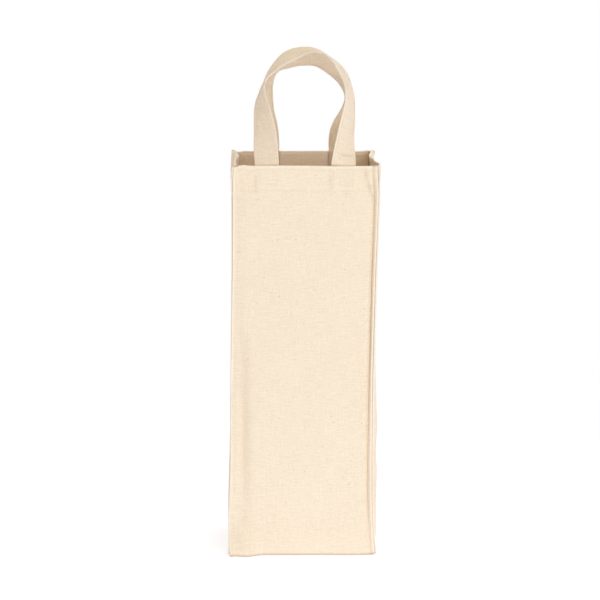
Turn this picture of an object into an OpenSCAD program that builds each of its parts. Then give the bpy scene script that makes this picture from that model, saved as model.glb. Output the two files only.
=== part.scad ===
// Cotton canvas carrier for one wine bottle, standing open with both handles up.
// Millimetres, +Z up. The front panel faces -Y, and the origin is the middle of the base, on the floor.

/* [Bag] */
// Width of the front and back panels, from one edge seam to the other
bag_w = 130; // [115:1:150]
// Height of the bag from the floor to the rim
bag_h = 350; // [300:1:400]
// Depth of the bag, from the front panel's face to the back panel's
bag_d = 90; // [80:1:110]
// Thickness of one layer of canvas
cloth_t = 0.9; // [0.6:0.1:1.2]

/* [Seams] */
// How far each edge seam stands out past the gusset beside it
flange_w = 4; // [3:0.5:6]
// Distance of the edge stitching from the seam's outer edge
edge_stitch_in = 2.4; // [1.8:0.1:2.8]
// Height of the hem turned down inside the mouth
hem_h = 24; // [22:1:30]
// Height of the base's seam allowance, turned up inside the walls
base_allowance_h = 8; // [5:1:14]

/* [Handles] */
// Width of the handle straps
strap_w = 22; // [18:1:26]
// Thickness of the handle straps
strap_t = 2.2; // [1.6:0.1:3]
// Distance between the middles of one handle's two feet
strap_spacing = 66.5; // [60:0.5:76]
// Length of strap sewn down inside the hem at each foot
tail_len = 18.5; // [13:0.5:19]
// Widest spread of a handle's middle line
loop_w = 81; // [74:1:90]
// Height of the front handle's middle line above the rim
front_rise = 96.5; // [85:0.5:125]
// Height of the back handle's middle line above the rim
back_rise = 90; // [80:0.5:120]
// How far the back handle's top stands to the right of its feet
back_skew = 2.5; // [0:0.5:6]
// Gap between the two handles where they lean together
handle_gap = 0.6; // [0.4:0.1:3]

/* [Stitching] */
// Width of a row of stitches
thread_w = 0.8; // [0.5:0.1:1.2]
// How far a row of stitches stands proud of the cloth
thread_t = 0.35; // [0.2:0.05:0.5]
// Distance of the rim's row of stitches below the rim
rim_stitch_down = 3; // [2:0.5:5]
// Distance of the hem's row of stitches above the hem's lower edge
hem_stitch_up = 2.4; // [1.5:0.1:3]
// Distance of the stitching on a strap from the strap's edges
strap_stitch_in = 2.5; // [1.5:0.1:4]

/* [Hidden] */

// Colours of unbleached cotton, its shaded inner side, and the thread
canvas_colour = [0.94, 0.87, 0.76];
gusset_colour = [0.90, 0.82, 0.70];
strap_colour = [0.92, 0.84, 0.72];
thread_colour = [0.80, 0.70, 0.55];

// Overrun of a cutting block past the face that it cuts
cut_over = 1;
// Gap between a handle and the tails that carry it, at the fold over the rim
rim_gap = 0.3;
// Free ends of the edge stitching, at the rim and at the floor
edge_stitch_end = 3;
// Inset of the box stitching from the edges of a tail
box_inset = 2.4;
// Rings along each handle
strap_rings = 72;
// Bevel of a strap's folded edges, as a share of its thickness
strap_bevel_share = 0.3;
// Step for finding a strap's direction, as a share of its length
tangent_step_share = 0.004;
// How quickly a handle leans in towards the other, as a power of its height
lean_power = 1.15;
// How late a handle's legs spread apart, as a power of their smooth rise
spread_power = 2.5;

// How each handle lies, in rows along its strap: the place as a share of its length, how far it has moved
// to the right and up as shares of loop_w, and its turn in degrees, from 90 flat to the view to 0 edge on.
// The first and last rows keep its ends square to the rim
front_lie_shares = [
    [0, 0, 0, 90], [0.02, 0, 0, 90], [0.07, -0.007, -0.001, 80], [0.14, 0.005, 0.002, 59],
    [0.21, 0.029, 0.015, 34], [0.28, 0.041, 0.018, -2], [0.35, 0.056, -0.004, 8],
    [0.42, 0.053, -0.007, 22], [0.5, 0.035, 0.008, 7], [0.58, -0.003, 0.018, -5],
    [0.65, -0.023, 0.006, 4], [0.72, -0.014, 0.006, 14], [0.79, -0.006, 0.002, 27],
    [0.86, 0.019, -0.001, 41], [0.93, 0.015, -0.002, 55], [0.98, 0, 0, 90], [1, 0, 0, 90]
];
back_lie_shares = [
    [0, 0, 0, 90], [0.02, 0, 0, 90], [0.07, 0.033, 0, 57], [0.14, 0.049, 0, 40],
    [0.21, 0.064, -0.001, 41], [0.28, 0.046, -0.01, 26], [0.35, 0.012, -0.035, 16],
    [0.42, -0.01, -0.035, 37], [0.5, -0.029, -0.024, 46], [0.58, -0.049, -0.012, 43],
    [0.65, -0.05, -0.013, 41], [0.72, -0.037, -0.009, 25], [0.79, -0.016, 0.003, 15],
    [0.86, -0.007, 0.001, 23], [0.93, 0.001, 0, 57], [0.98, 0, 0, 90], [1, 0, 0, 90]
];

// Columns of those tables
lie_right = 1;
lie_up = 2;
lie_turn = 3;

// Faces of the walls, measured from the middle of the bag
panel_out = bag_d / 2;
panel_in = panel_out - cloth_t;
hem_in = panel_in - cloth_t;
tail_in = hem_in - strap_t;
lip_in = hem_in - 2 * cloth_t;
gusset_out = bag_w / 2 - flange_w;
gusset_in = gusset_out - cloth_t;
gusset_hem_in = gusset_in - cloth_t;
hem_low = bag_h - hem_h;

// Middle plane of a strap's feet, and each foot's distance from the middle of the bag
foot_y = hem_in - strap_t / 2;
foot_x = strap_spacing / 2;
loop_r = loop_w / 2;
arch_len = PI * loop_r;

// Turns a foot at -Y, made for the front, to the back of the bag
module at_back() {
    rotate([0, 0, 180]) children();
}

// A block between two opposite corners
module block(low, high) {
    translate(low) cube(high - low);
}

// The same shape on the left and on the right
module both_sides() {
    children();
    mirror([1, 0, 0]) children();
}

// Smooth step from 0 to 1
function ease(t) = let (s = min(max(t, 0), 1)) s * s * (3 - 2 * s);

// Rise of one column of a table from row i to the next, for each unit of place
function rise_rate(table, i, column) =
    (table[i + 1][column] - table[i][column]) / (table[i + 1][0] - table[i][0]);

// The same rate at row i itself, on a smooth curve through the rows
function smooth_rate(table, i, column) =
    let (
        last = len(table) - 1,
        before = table[i][0] - table[max(i - 1, 0)][0],
        after = table[min(i + 1, last)][0] - table[i][0]
    )
    i == 0 ? rise_rate(table, 0, column)
    : i == last ? rise_rate(table, last - 1, column)
    : (rise_rate(table, i - 1, column) * after + rise_rate(table, i, column) * before) / (before + after);

// Value of one column of a table at a place, on a smooth curve through the rows
function smooth_lookup(place, table, column) =
    let (
        found = [for (i = [0 : len(table) - 2]) if (place >= table[i][0]) i],
        i = len(found) == 0 ? 0 : found[len(found) - 1],
        span = table[i + 1][0] - table[i][0],
        t = min(max((place - table[i][0]) / span, 0), 1)
    )
    table[i][column] + (table[i + 1][column] - table[i][column]) * ease(t)
    + span * t * (1 - t) * ((1 - t) * smooth_rate(table, i, column) - t * smooth_rate(table, i + 1, column));

function unit(v) = v / norm(v);

// A front panel: one layer of canvas, doubled at its two folded edges and at its hem
module wall_panel() {
    block([-bag_w / 2, -panel_out, 0], [bag_w / 2, -panel_in, bag_h]);
    both_sides() block([gusset_in, -panel_in, 0], [bag_w / 2, -hem_in, bag_h]);
    block([-gusset_in, -panel_in, hem_low], [gusset_in, -hem_in, bag_h]);
}

// A right gusset: one layer, with a folded lip along each edge and its own hem
module gusset() {
    block([gusset_in, -hem_in, 0], [gusset_out, hem_in, bag_h]);
    for (side = [0, 1]) mirror([0, side, 0])
        block([gusset_in, -hem_in, 0], [bag_w / 2, -lip_in, bag_h]);
    block([gusset_hem_in, -hem_in, hem_low], [gusset_in, hem_in, bag_h]);
}

// The base: a plate with its seam allowance turned up inside the four walls
module base_panel() {
    color(canvas_colour) difference() {
        block([-gusset_in, -panel_in, 0], [gusset_in, panel_in, cloth_t + base_allowance_h]);
        block(
            [-gusset_hem_in, -hem_in, cloth_t],
            [gusset_hem_in, hem_in, cloth_t + base_allowance_h + cut_over]
        );
    }
}

// The two ends of a handle, sewn flat inside the front hem
module tails() {
    both_sides() block(
        [foot_x - strap_w / 2, -hem_in, bag_h - tail_len],
        [foot_x + strap_w / 2, -tail_in, bag_h]
    );
}

// Middle line of a front handle. p runs along it, from the left foot to the right
function strap_length(rise) = 2 * (rise - loop_r) + arch_len;

// How far across and how high the middle line is at p, before it leans
function loop_point(p, rise) =
    let (
        leg = rise - loop_r,
        turn = (p - leg) / arch_len * 180,
        q = p < leg ? p : strap_length(rise) - p,
        leg_x = foot_x + (loop_r - foot_x) * pow(ease(q / leg), spread_power)
    )
    p < leg ? [-leg_x, q]
    : p > leg + arch_len ? [leg_x, q]
    : [-loop_r * cos(turn), leg + loop_r * sin(turn)];

// The same point in the bag's own frame, leaning in until the strap's edge is beside the middle
function strap_point(p, rise, skew, lie) =
    let (
        flat = loop_point(p, rise),
        place = p / strap_length(rise),
        up = max(flat[1], 0) / rise,
        top_turn = smooth_lookup(0.5, lie, lie_turn),
        top_y = handle_gap / 2 + strap_w / 2 * cos(top_turn) + strap_t / 2 * sin(top_turn),
        y = foot_y - (foot_y - top_y) * pow(up, lean_power),
        right = skew * ease(up) + loop_w * smooth_lookup(place, lie, lie_right),
        higher = loop_w * smooth_lookup(place, lie, lie_up)
    )
    [flat[0] + right, -y, bag_h + rim_gap + flat[1] + higher];

// [point, direction across the strap, direction through it] at p
function strap_frame(p, rise, skew, lie) =
    let (
        total = strap_length(rise),
        step = total * tangent_step_share,
        along = unit(strap_point(p + step, rise, skew, lie) - strap_point(p - step, rise, skew, lie)),
        turn = smooth_lookup(p / total, lie, lie_turn),
        outward = unit([-along[2], 0, along[0]]),
        wanted = outward * sin(turn) + [0, cos(turn), 0],
        across = unit(wanted - along * (wanted * along))
    )
    [strap_point(p, rise, skew, lie), across, cross(along, across)];

// Solid swept through frames, from a section given as [across, through] points.
// Each side between two rings is split along one diagonal, or along the other one when turned is true
module sweep(frames, section, turned = false) {
    n = len(section);
    last = len(frames) - 1;
    points = [for (f = frames) for (s = section) f[0] + f[1] * s[0] + f[2] * s[1]];
    sides = [for (i = [0 : last - 1]) for (j = [0 : n - 1])
        let (a = i * n + j, b = i * n + (j + 1) % n)
        each turned ? [[a, a + n, b + n], [a, b + n, b]] : [[a, a + n, b], [b, a + n, b + n]]];
    caps = [for (j = [1 : n - 2]) each [[0, j, j + 1], [last * n, last * n + j + 1, last * n + j]]];
    polyhedron(points = points, faces = concat(sides, caps), convexity = 6);
}

// Middle of a row of stitches, and the two edges of the row, across the strap
row_across = strap_w / 2 - strap_stitch_in;
row_low = row_across - thread_w / 2;
row_high = row_across + thread_w / 2;

// Outline of the strap: a flat bar with its long edges bevelled, and points where the stitches lie
function strap_section() =
    let (
        w = strap_w / 2,
        t = strap_t / 2,
        b = strap_t * strap_bevel_share,
        face = [w - b, row_high, row_low, -row_low, -row_high, b - w]
    )
    concat(
        [[w, b - t], [w, t - b]], [for (x = face) [x, t]],
        [[-w, t - b], [-w, b - t]], [for (x = face) [-x, -t]]
    );

// Outline of one row of stitches on the strap's face, on the side given as 1 or -1
function row_section(low, high, side) =
    let (t = strap_t / 2, top = t + thread_t, rows = [[high, top], [low, top], [low, t], [high, t]])
    [for (r = rows) r * side];

function strap_frames(rise, skew, lie) =
    [for (i = [0 : strap_rings]) strap_frame(i / strap_rings * strap_length(rise), rise, skew, lie)];

// The free loop of a front handle
module handle(rise, skew, lie) {
    sweep(strap_frames(rise, skew, lie), strap_section());
}

// The two rows of stitches along a front handle, on both of its faces
module handle_rows(rise, skew, lie) {
    frames = strap_frames(rise, skew, lie);
    for (side = [-1, 1]) {
        sweep(frames, row_section(row_low, row_high, side), turned = true);
        sweep(frames, row_section(-row_high, -row_low, side), turned = true);
    }
}

// A level row of stitches on the outer face and on the inner one, of a wall between out and in
module level_rows(half_len, out, in, z) {
    block([-half_len, -out - thread_t, z - thread_w / 2], [half_len, -out, z + thread_w / 2]);
    block([-half_len, -in, z - thread_w / 2], [half_len, -in + thread_t, z + thread_w / 2]);
}

// Rows round the mouth at height z, on the four walls' hems
module mouth_rows(z) {
    for (turn = [0, 180]) rotate([0, 0, turn]) {
        level_rows(gusset_hem_in - thread_t, panel_out, hem_in, z);
        rotate([0, 0, 90]) level_rows(lip_in - thread_t, gusset_out, gusset_hem_in, z);
    }
}

// A rectangle of stitches for a tail
module stitch_box(w, h) {
    difference() {
        square([w, h], center = true);
        square([w - 2 * thread_w, h - 2 * thread_w], center = true);
    }
}

// The boxes that hold the front tails, on the panel's face and on the straps'
module tail_boxes() {
    w = strap_w - 2 * box_inset;
    h = tail_len - box_inset - rim_stitch_down;
    z = bag_h - rim_stitch_down - h / 2 - thread_w / 2;
    both_sides() for (y = [-panel_out, -tail_in + thread_t])
        translate([foot_x, y, z]) rotate([90, 0, 0])
            linear_extrude(thread_t) stitch_box(w, h - 2 * thread_w);
}

// An upright row for the front right edge seam, on the panel and on the gusset's lip
module edge_rows() {
    x = bag_w / 2 - edge_stitch_in;
    for (y = [-panel_out - thread_t, -lip_in])
        block(
            [x - thread_w / 2, y, edge_stitch_end],
            [x + thread_w / 2, y + thread_t, bag_h - edge_stitch_end]
        );
}

module front_panel() {
    color(canvas_colour) wall_panel();
}

module back_panel() {
    color(canvas_colour) at_back() wall_panel();
}

module right_gusset() {
    color(gusset_colour) gusset();
}

module left_gusset() {
    color(gusset_colour) mirror([1, 0, 0]) gusset();
}

module front_handle() {
    color(strap_colour) handle(front_rise, 0, front_lie_shares);
}

module back_handle() {
    color(strap_colour) mirror([0, 1, 0]) handle(back_rise, back_skew, back_lie_shares);
}

module front_handle_tails() {
    color(strap_colour) tails();
}

module back_handle_tails() {
    color(strap_colour) at_back() tails();
}

module front_handle_stitching() {
    color(thread_colour) handle_rows(front_rise, 0, front_lie_shares);
}

module back_handle_stitching() {
    color(thread_colour) mirror([0, 1, 0]) handle_rows(back_rise, back_skew, back_lie_shares);
}

module front_tail_stitching() {
    color(thread_colour) tail_boxes();
}

module back_tail_stitching() {
    color(thread_colour) at_back() tail_boxes();
}

module hem_stitching() {
    color(thread_colour) mouth_rows(hem_low + hem_stitch_up);
}

// The rim's row passes over the tails, where their own boxes take its place inside
module rim_stitching() {
    color(thread_colour) difference() {
        mouth_rows(bag_h - rim_stitch_down);
        for (turn = [0, 180]) rotate([0, 0, turn]) tails();
    }
}

// One row inside, round the top of the base's turned-up allowance
module base_stitching() {
    z = cloth_t + base_allowance_h / 2;
    low = z - thread_w / 2;
    high = z + thread_w / 2;
    color(thread_colour) difference() {
        block([-gusset_hem_in, -hem_in, low], [gusset_hem_in, hem_in, high]);
        block(
            [-gusset_hem_in + thread_t, -hem_in + thread_t, low - cut_over],
            [gusset_hem_in - thread_t, hem_in - thread_t, high + cut_over]
        );
    }
}

module front_right_edge_stitching() {
    color(thread_colour) edge_rows();
}

module front_left_edge_stitching() {
    color(thread_colour) mirror([1, 0, 0]) edge_rows();
}

module back_right_edge_stitching() {
    color(thread_colour) mirror([0, 1, 0]) edge_rows();
}

module back_left_edge_stitching() {
    color(thread_colour) at_back() edge_rows();
}

front_panel();
back_panel();
left_gusset();
right_gusset();
base_panel();
front_handle();
back_handle();
front_handle_tails();
back_handle_tails();
front_handle_stitching();
back_handle_stitching();
front_tail_stitching();
back_tail_stitching();
hem_stitching();
rim_stitching();
base_stitching();
front_left_edge_stitching();
front_right_edge_stitching();
back_left_edge_stitching();
back_right_edge_stitching();
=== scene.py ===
import math

import bpy
import numpy as np
from mathutils import Matrix, Vector


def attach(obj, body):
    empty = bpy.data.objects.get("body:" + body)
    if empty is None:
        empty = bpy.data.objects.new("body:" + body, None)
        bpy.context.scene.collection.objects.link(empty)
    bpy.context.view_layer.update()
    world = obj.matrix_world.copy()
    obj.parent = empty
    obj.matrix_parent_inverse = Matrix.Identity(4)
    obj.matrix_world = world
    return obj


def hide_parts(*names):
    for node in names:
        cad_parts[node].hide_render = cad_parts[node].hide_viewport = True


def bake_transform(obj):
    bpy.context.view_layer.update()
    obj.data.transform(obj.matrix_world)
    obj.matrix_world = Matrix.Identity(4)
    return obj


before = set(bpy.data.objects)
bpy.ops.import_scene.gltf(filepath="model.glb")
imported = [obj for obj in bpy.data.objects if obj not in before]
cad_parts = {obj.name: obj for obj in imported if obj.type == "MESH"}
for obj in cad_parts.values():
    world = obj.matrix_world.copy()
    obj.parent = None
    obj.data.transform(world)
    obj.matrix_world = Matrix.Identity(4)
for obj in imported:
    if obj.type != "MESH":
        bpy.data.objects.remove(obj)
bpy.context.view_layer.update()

scene = bpy.context.scene
print("frame loaded")

# Lengths are in millimetres until a mesh is made. The front of the bag faces -Y
metre = 0.001
up = np.array([0.0, 0.0, 1.0])


# Nodes, for the studio and the materials alike

def put(tree, kind, inputs=None, **settings):
    node = tree.nodes.new(kind)
    for key, value in settings.items():
        setattr(node, key, value)
    for key, value in (inputs or {}).items():
        if isinstance(value, bpy.types.NodeSocket):
            tree.links.new(value, node.inputs[key])
        else:
            node.inputs[key].default_value = value
    return node


def maths(tree, operation, a, b=0.0, c=0.0):
    return put(tree, "ShaderNodeMath", {0: a, 1: b, 2: c}, operation=operation).outputs[0]


def ramp(tree, value, low, high, toLow=0.0, toHigh=1.0, form="LINEAR"):
    ends = {"From Min": low, "From Max": high, "To Min": toLow, "To Max": toHigh}
    return put(tree, "ShaderNodeMapRange", {"Value": value, **ends}, interpolation_type=form).outputs[0]


def mixColour(tree, share, a, b, mode="MIX"):
    return put(tree, "ShaderNodeMix", {0: share, 6: a, 7: b}, data_type="RGBA",
               blend_type=mode).outputs[2]


# Camera, lamps, floor and background

view = {
    "azimuth": -1.5366,  # degrees to the right of straight ahead
    "down": 11.3462,
    "roll": 0.4388,
    "target": (-2.041, 0.0, 222.39),
    "distance": 2800.0,
    "focal": 3138.58,  # in pixels of a picture 600 wide
    "pixels": 600.0,
    "sensor": 36.0,
    "clip": (0.1, 100.0),  # in metres
}

# Lengths are in metres here
studio = {
    "white": (1, 1, 1, 1),
    "backdrop": 1.0,  # what the camera sees behind the bag
    "sky": (0.37, 0.94),  # what lights the bag from all round, level and from above
    "skyFrom": (0.05, 0.7),  # how far up the first one ends and the second one starts, as a sine
    "skyColour": (1.0, 0.955, 0.892, 1), "lampColour": (0.955, 1.0, 1.095),
    "floorSize": 40.0,
    "floorColour": (0.83, 0.875, 0.95, 1),
    "floorGlow": (0.56, 0.30),  # added to what the floor throws back, close to the bag and further out
    "floorLift": 0.27,  # added to the floor for the camera only, so that it is white outside the shadow
    "glowColour": (0.97, 0.985, 1.32, 1),
    "floorNear": (0.10, 0.55),  # from and to this far out, the first glow turns into the second
    "floorFade": (0.25, 0.60),  # from and to this far out, the floor turns into the backdrop
    # name, place, size and energy in watts of each lamp
    "lamps": (
        ("keyLamp", (1.2, -2.4, 1.25), 2.0, 25.0),
        ("fillLamp", (-2.0, -2.0, 0.50), 2.0, 1.5),
        ("backLamp", (0.6, 2.8, 0.60), 2.0, 26.0),
    ),
    "aim": (0.0, 0.0, 0.26),
}


def addCamera():
    azimuth, down, roll = (math.radians(view[k]) for k in ("azimuth", "down", "roll"))
    level = Vector((math.cos(azimuth), math.sin(azimuth), 0))
    ahead = Vector((-math.sin(azimuth) * math.cos(down), math.cos(azimuth) * math.cos(down),
                    -math.sin(down)))
    above = level.cross(ahead)
    right = level * math.cos(roll) + above * math.sin(roll)
    top = above * math.cos(roll) - level * math.sin(roll)
    camera = bpy.data.objects.new("camera", bpy.data.cameras.new("camera"))
    camera.data.sensor_width = view["sensor"]
    camera.data.lens = view["focal"] / view["pixels"] * view["sensor"]
    camera.data.clip_start, camera.data.clip_end = view["clip"]
    place = (Vector(view["target"]) - ahead * view["distance"]) * metre
    turned = Matrix((right, top, -ahead)).transposed().to_4x4()
    camera.matrix_world = Matrix.Translation(place) @ turned
    scene.collection.objects.link(camera)
    scene.camera = camera


def seenDirectly(tree):
    # 1 for what the camera sees, also in a mirror or through glass
    path = put(tree, "ShaderNodeLightPath").outputs
    sharp = maths(tree, "MAXIMUM", path["Is Glossy Ray"], path["Is Transmission Ray"])
    return maths(tree, "MAXIMUM", path["Is Camera Ray"], sharp)


def addSky():
    world = bpy.data.worlds.new("studio")
    world.use_nodes = True
    tree = world.node_tree
    tree.nodes.clear()
    around = put(tree, "ShaderNodeTexCoord").outputs["Generated"]
    upward = put(tree, "ShaderNodeSeparateXYZ", {0: around}).outputs["Z"]
    seen = seenDirectly(tree)
    light = ramp(tree, upward, *studio["skyFrom"], *studio["sky"])
    strength = ramp(tree, seen, 0.0, 1.0, light, studio["backdrop"])
    tint = mixColour(tree, seen, studio["skyColour"], studio["white"])
    shown = put(tree, "ShaderNodeBackground", {"Color": tint, "Strength": strength})
    put(tree, "ShaderNodeOutputWorld", {"Surface": shown.outputs[0]})
    scene.world = world


def addLamps():
    for name, place, size, energy in studio["lamps"]:
        lamp = bpy.data.objects.new(name, bpy.data.lights.new(name, "AREA"))
        lamp.data.shape, lamp.data.size, lamp.data.energy = "SQUARE", size, energy
        lamp.data.color = studio["lampColour"]
        lamp.location = place
        towards = Vector(studio["aim"]) - Vector(place)
        lamp.rotation_euler = towards.to_track_quat("-Z", "Y").to_euler()
        scene.collection.objects.link(lamp)


def floorPaint():
    # pale paint that glows a little and turns into the backdrop further out, where the camera sees it
    paint = bpy.data.materials.new("floorPaint")
    paint.use_nodes = True
    tree = paint.node_tree
    tree.nodes.clear()
    seen = seenDirectly(tree)
    place = put(tree, "ShaderNodeTexCoord").outputs["Object"]
    out = put(tree, "ShaderNodeVectorMath", {0: place}, operation="LENGTH").outputs["Value"]
    matt = put(tree, "ShaderNodeBsdfDiffuse", {"Color": studio["floorColour"]})
    glow = ramp(tree, out, *studio["floorNear"], *studio["floorGlow"])
    strength = ramp(tree, seen, 0.0, 1.0, glow, studio["floorLift"])
    tint = mixColour(tree, seen, studio["glowColour"], studio["white"])
    lift = put(tree, "ShaderNodeEmission", {"Color": tint, "Strength": strength})
    lit = put(tree, "ShaderNodeAddShader", {0: matt.outputs[0], 1: lift.outputs[0]})
    far = ramp(tree, out, *studio["floorFade"], form="SMOOTHSTEP")
    faded = maths(tree, "MULTIPLY", far, seen)
    backdrop = put(tree, "ShaderNodeEmission",
                   {"Color": studio["white"], "Strength": studio["backdrop"]})
    shown = put(tree, "ShaderNodeMixShader", {0: faded, 1: lit.outputs[0], 2: backdrop.outputs[0]})
    put(tree, "ShaderNodeOutputMaterial", {"Surface": shown.outputs[0]})
    return paint


def addFloor():
    half = studio["floorSize"] / 2
    mesh = bpy.data.meshes.new("floor")
    corners = [(-half, -half, 0), (half, -half, 0), (half, half, 0), (-half, half, 0)]
    mesh.from_pydata(corners, [], [(0, 1, 2, 3)])
    mesh.materials.append(floorPaint())
    floor = bpy.data.objects.new("floor", mesh)
    scene.collection.objects.link(floor)


addCamera()
addSky()
addLamps()
addFloor()
scene.view_settings.view_transform = "Standard"
print("camera and studio done")


# Small tools for shapes

def ease(t):
    t = np.clip(t, 0, 1)
    return t * t * (3 - 2 * t)


def rises(x, start, over):
    # from 0 at the start to 1 after this distance. A negative distance leads the other way
    return ease((x - start) / over)


def bump(distance, width):
    return np.exp(-(distance / width) ** 2)


def within(x, reach, power):
    # from 1 in the middle to 0 at this reach on both sides. With a higher power it falls later
    return np.clip(1 - (x / reach) ** power, 0, 1)


def drawn(table, x, blur=5.0, reach=1.6, samples=9):
    # value of a table of (place, value) rows, smoothed over about the length blur
    places, values = np.array(table, float).T
    steps = np.linspace(-reach, reach, samples)
    weights = np.exp(-steps ** 2)
    total = sum(w * np.interp(x + s * blur, places, values) for s, w in zip(steps, weights))
    return total / weights.sum()


def curved(table, column, x):
    # one column of a table of rows, on a smooth curve through the rows
    rows = np.array(table, float)
    places, values = rows[:, 0], rows[:, column]
    gap = np.diff(places)
    rate = np.diff(values) / gap
    inner = (rate[:-1] * gap[1:] + rate[1:] * gap[:-1]) / (gap[:-1] + gap[1:])
    slope = np.concatenate([rate[:1], inner, rate[-1:]])
    i = np.clip(np.searchsorted(places, x, side="right") - 1, 0, len(places) - 2)
    t = np.clip((x - places[i]) / gap[i], 0, 1)
    return (values[i] + (values[i + 1] - values[i]) * ease(t)
            + gap[i] * t * (1 - t) * ((1 - t) * slope[i] - t * slope[i + 1]))


def softNoise(a, b, length, seed, waves=14, stretches=(0.7, 1.5)):
    # smooth noise of about unit size over a plane, with waves of about this length
    pick = np.random.default_rng(seed)
    turns = pick.uniform(0, 2 * math.pi, waves)
    lengths = length * pick.uniform(*stretches, waves)
    phases = pick.uniform(0, 2 * math.pi, waves)
    total = 0
    for turn, one, phase in zip(turns, lengths, phases):
        total = total + np.sin(2 * math.pi / one * (a * math.cos(turn) + b * math.sin(turn)) + phase)
    return total * math.sqrt(2 / waves) * 0.5


def spaced(*stops):
    # positions through the stops, each (place, step used from there on)
    parts = [np.linspace(a[0], b[0], max(1, round(abs(b[0] - a[0]) / a[1])) + 1)[:-1]
             for a, b in zip(stops, stops[1:])]
    return np.concatenate([*parts, [stops[-1][0]]])


def hermite(p0, m0, p1, m1, t):
    # curve from one point to another, with the direction and strength that it has at each
    t = np.asarray(t)[None, :, None]
    p0, m0, p1, m1 = (v[:, None, :] for v in (p0, m0, p1, m1))
    return ((2 * t ** 3 - 3 * t ** 2 + 1) * p0 + (t ** 3 - 2 * t ** 2 + t) * m0
            + (3 * t ** 2 - 2 * t ** 3) * p1 + (t ** 3 - t ** 2) * m1)


def unit(v):
    return v / np.maximum(np.linalg.norm(v, axis=-1, keepdims=True), 1e-9)


# The bag's form: four upright seams and the walls between them

bag = {
    "height": 350.0,
    "cloth": 0.9,
    "clothDrawn": 0.84,  # a little thinner, so that the layers of a fold don't touch
    "panelMid": 44.55,  # middle of the front and back cloth, from the middle of the bag
    "panelHalf": 61.0, "gussetHalf": 43.2,  # half widths of the cloth between its seams
    "flange": 4.0,  # from an edge seam's stitch line to its outer edge
    "flangeSeen": 0.3,  # least share of the flange that stands out sideways
    "layers": (0.5, 1.5),  # a seam's hidden and shown layer, in cloths from the seam's middle
    "hem": 24.0,
    "rimStitch": 3.0,
    "hemStitch": 2.4,
    "edgeStitch": 2.4,
    "baseAllowance": 8.0,
}

# How many points draw the cloth across: a seam's lip, fold and shown layer, a panel's dip and middle, a
# gusset's turn and middle, and over the rim
counts = {"lip": 6, "fold": 10, "face": 7, "dip": 15, "panel": 52, "turn": 10, "gusset": 40, "rim": 9}

# For each upright seam: distance of its outer edge and of its stitch line from the bag's middle, by
# height, how far the stitch line is sunk behind the face, over what width the face dips to it, and how
# far the gusset's fold stands out past the panel's
seams = {
    "frontLeft": {
        "side": -1, "end": -1, "dip": 8.0,
        "edge": ((0, 63.2), (3, 64.5), (13, 64.7), (32, 65.2), (50, 64.5), (78, 63.7), (115, 63.7),
                 (155, 63.8), (189, 63.1), (222, 62.9), (240, 62.5), (258, 62.2), (320, 62.2),
                 (338, 62.1), (350, 61.4)),
        "line": ((0, 60.5), (32, 61.2), (50, 60.6), (78, 59.8), (155, 59.8), (189, 59.6), (222, 59.3),
                 (258, 58.7), (320, 58.8), (338, 59.2), (350, 58.6)),
        "sunk": ((0, 0.0), (40, 0.3), (160, 0.35), (300, 0.2), (350, 0.1)),
        "past": ((0, 0.1), (13, 0.1), (31, 0.1), (50, 0.0), (77, -0.25), (114, -0.15), (150, -0.3),
                 (189, -0.4), (222, -0.4), (298, -0.3), (316, -0.2), (330, 0.3), (350, 0.4)),
    },
    "frontRight": {
        "side": 1, "end": -1, "dip": 5.0,
        "edge": ((0, 63.9), (3, 65.0), (13, 63.3), (32, 62.0), (50, 61.4), (78, 61.0), (115, 60.7),
                 (155, 60.4), (189, 60.7), (222, 61.3), (258, 61.9), (282, 62.8), (298, 63.3),
                 (310, 63.4), (320, 64.0), (338, 63.9), (345, 63.2), (350, 62.9)),
        "line": ((0, 61.6), (3, 61.5), (13, 60.6), (32, 59.4), (50, 58.7), (78, 58.2), (115, 58.5),
                 (155, 58.9), (189, 59.5), (222, 59.8), (258, 60.4), (282, 60.9), (298, 61.1),
                 (320, 61.6), (330, 61.4), (338, 60.3), (345, 59.9), (350, 59.6)),
        "sunk": ((0, 0.1), (12, 0.3), (31, 0.9), (50, 1.7), (95, 2.3), (141, 2.1), (186, 2.7),
                 (250, 2.7), (310, 2.4), (338, 2.0), (350, 0.8)),
        "past": ((0, 0.2), (350, 0.2)),
    },
    "backRight": {
        "side": 1, "end": 1, "dip": 9.0,
        "edge": ((0, 64.4), (8, 65.0), (60, 65.0), (140, 64.4), (220, 63.8), (300, 64.3), (335, 65.0),
                 (350, 64.5)),
        "line": ((0, 61.0), (60, 61.5), (140, 60.6), (220, 60.1), (300, 60.5), (330, 60.6),
                 (350, 60.7)),
        "sunk": ((0, 0.1), (60, 0.9), (200, 1.5), (310, 0.8), (350, 0.1)),
        "past": ((0, 0.2), (350, 0.2)),
    },
    "backLeft": {
        "side": -1, "end": 1, "dip": 8.0,
        "edge": ((0, 63.8), (26, 64.4), (93, 62.9), (170, 62.5), (241, 62.0), (305, 62.2), (331, 63.1),
                 (336, 63.1), (341, 63.1), (346, 62.7), (351, 61.9)),
        "line": ((0, 60.2), (26, 60.7), (93, 59.6), (170, 59.3), (241, 59.0), (305, 59.4), (331, 60.0),
                 (341, 59.4), (351, 58.4)),
        "sunk": ((0, 0.1), (60, 0.9), (180, 1.6), (300, 0.9), (350, 0.1)),
        "past": ((0, 0.2), (25, 0.1), (75, -0.4), (120, -0.4), (165, -0.5), (214, -0.6), (260, -0.8),
                 (304, -0.8), (323, -0.5), (333, -0.5), (342, -0.2), (350, 0.1)),
    },
}

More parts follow.
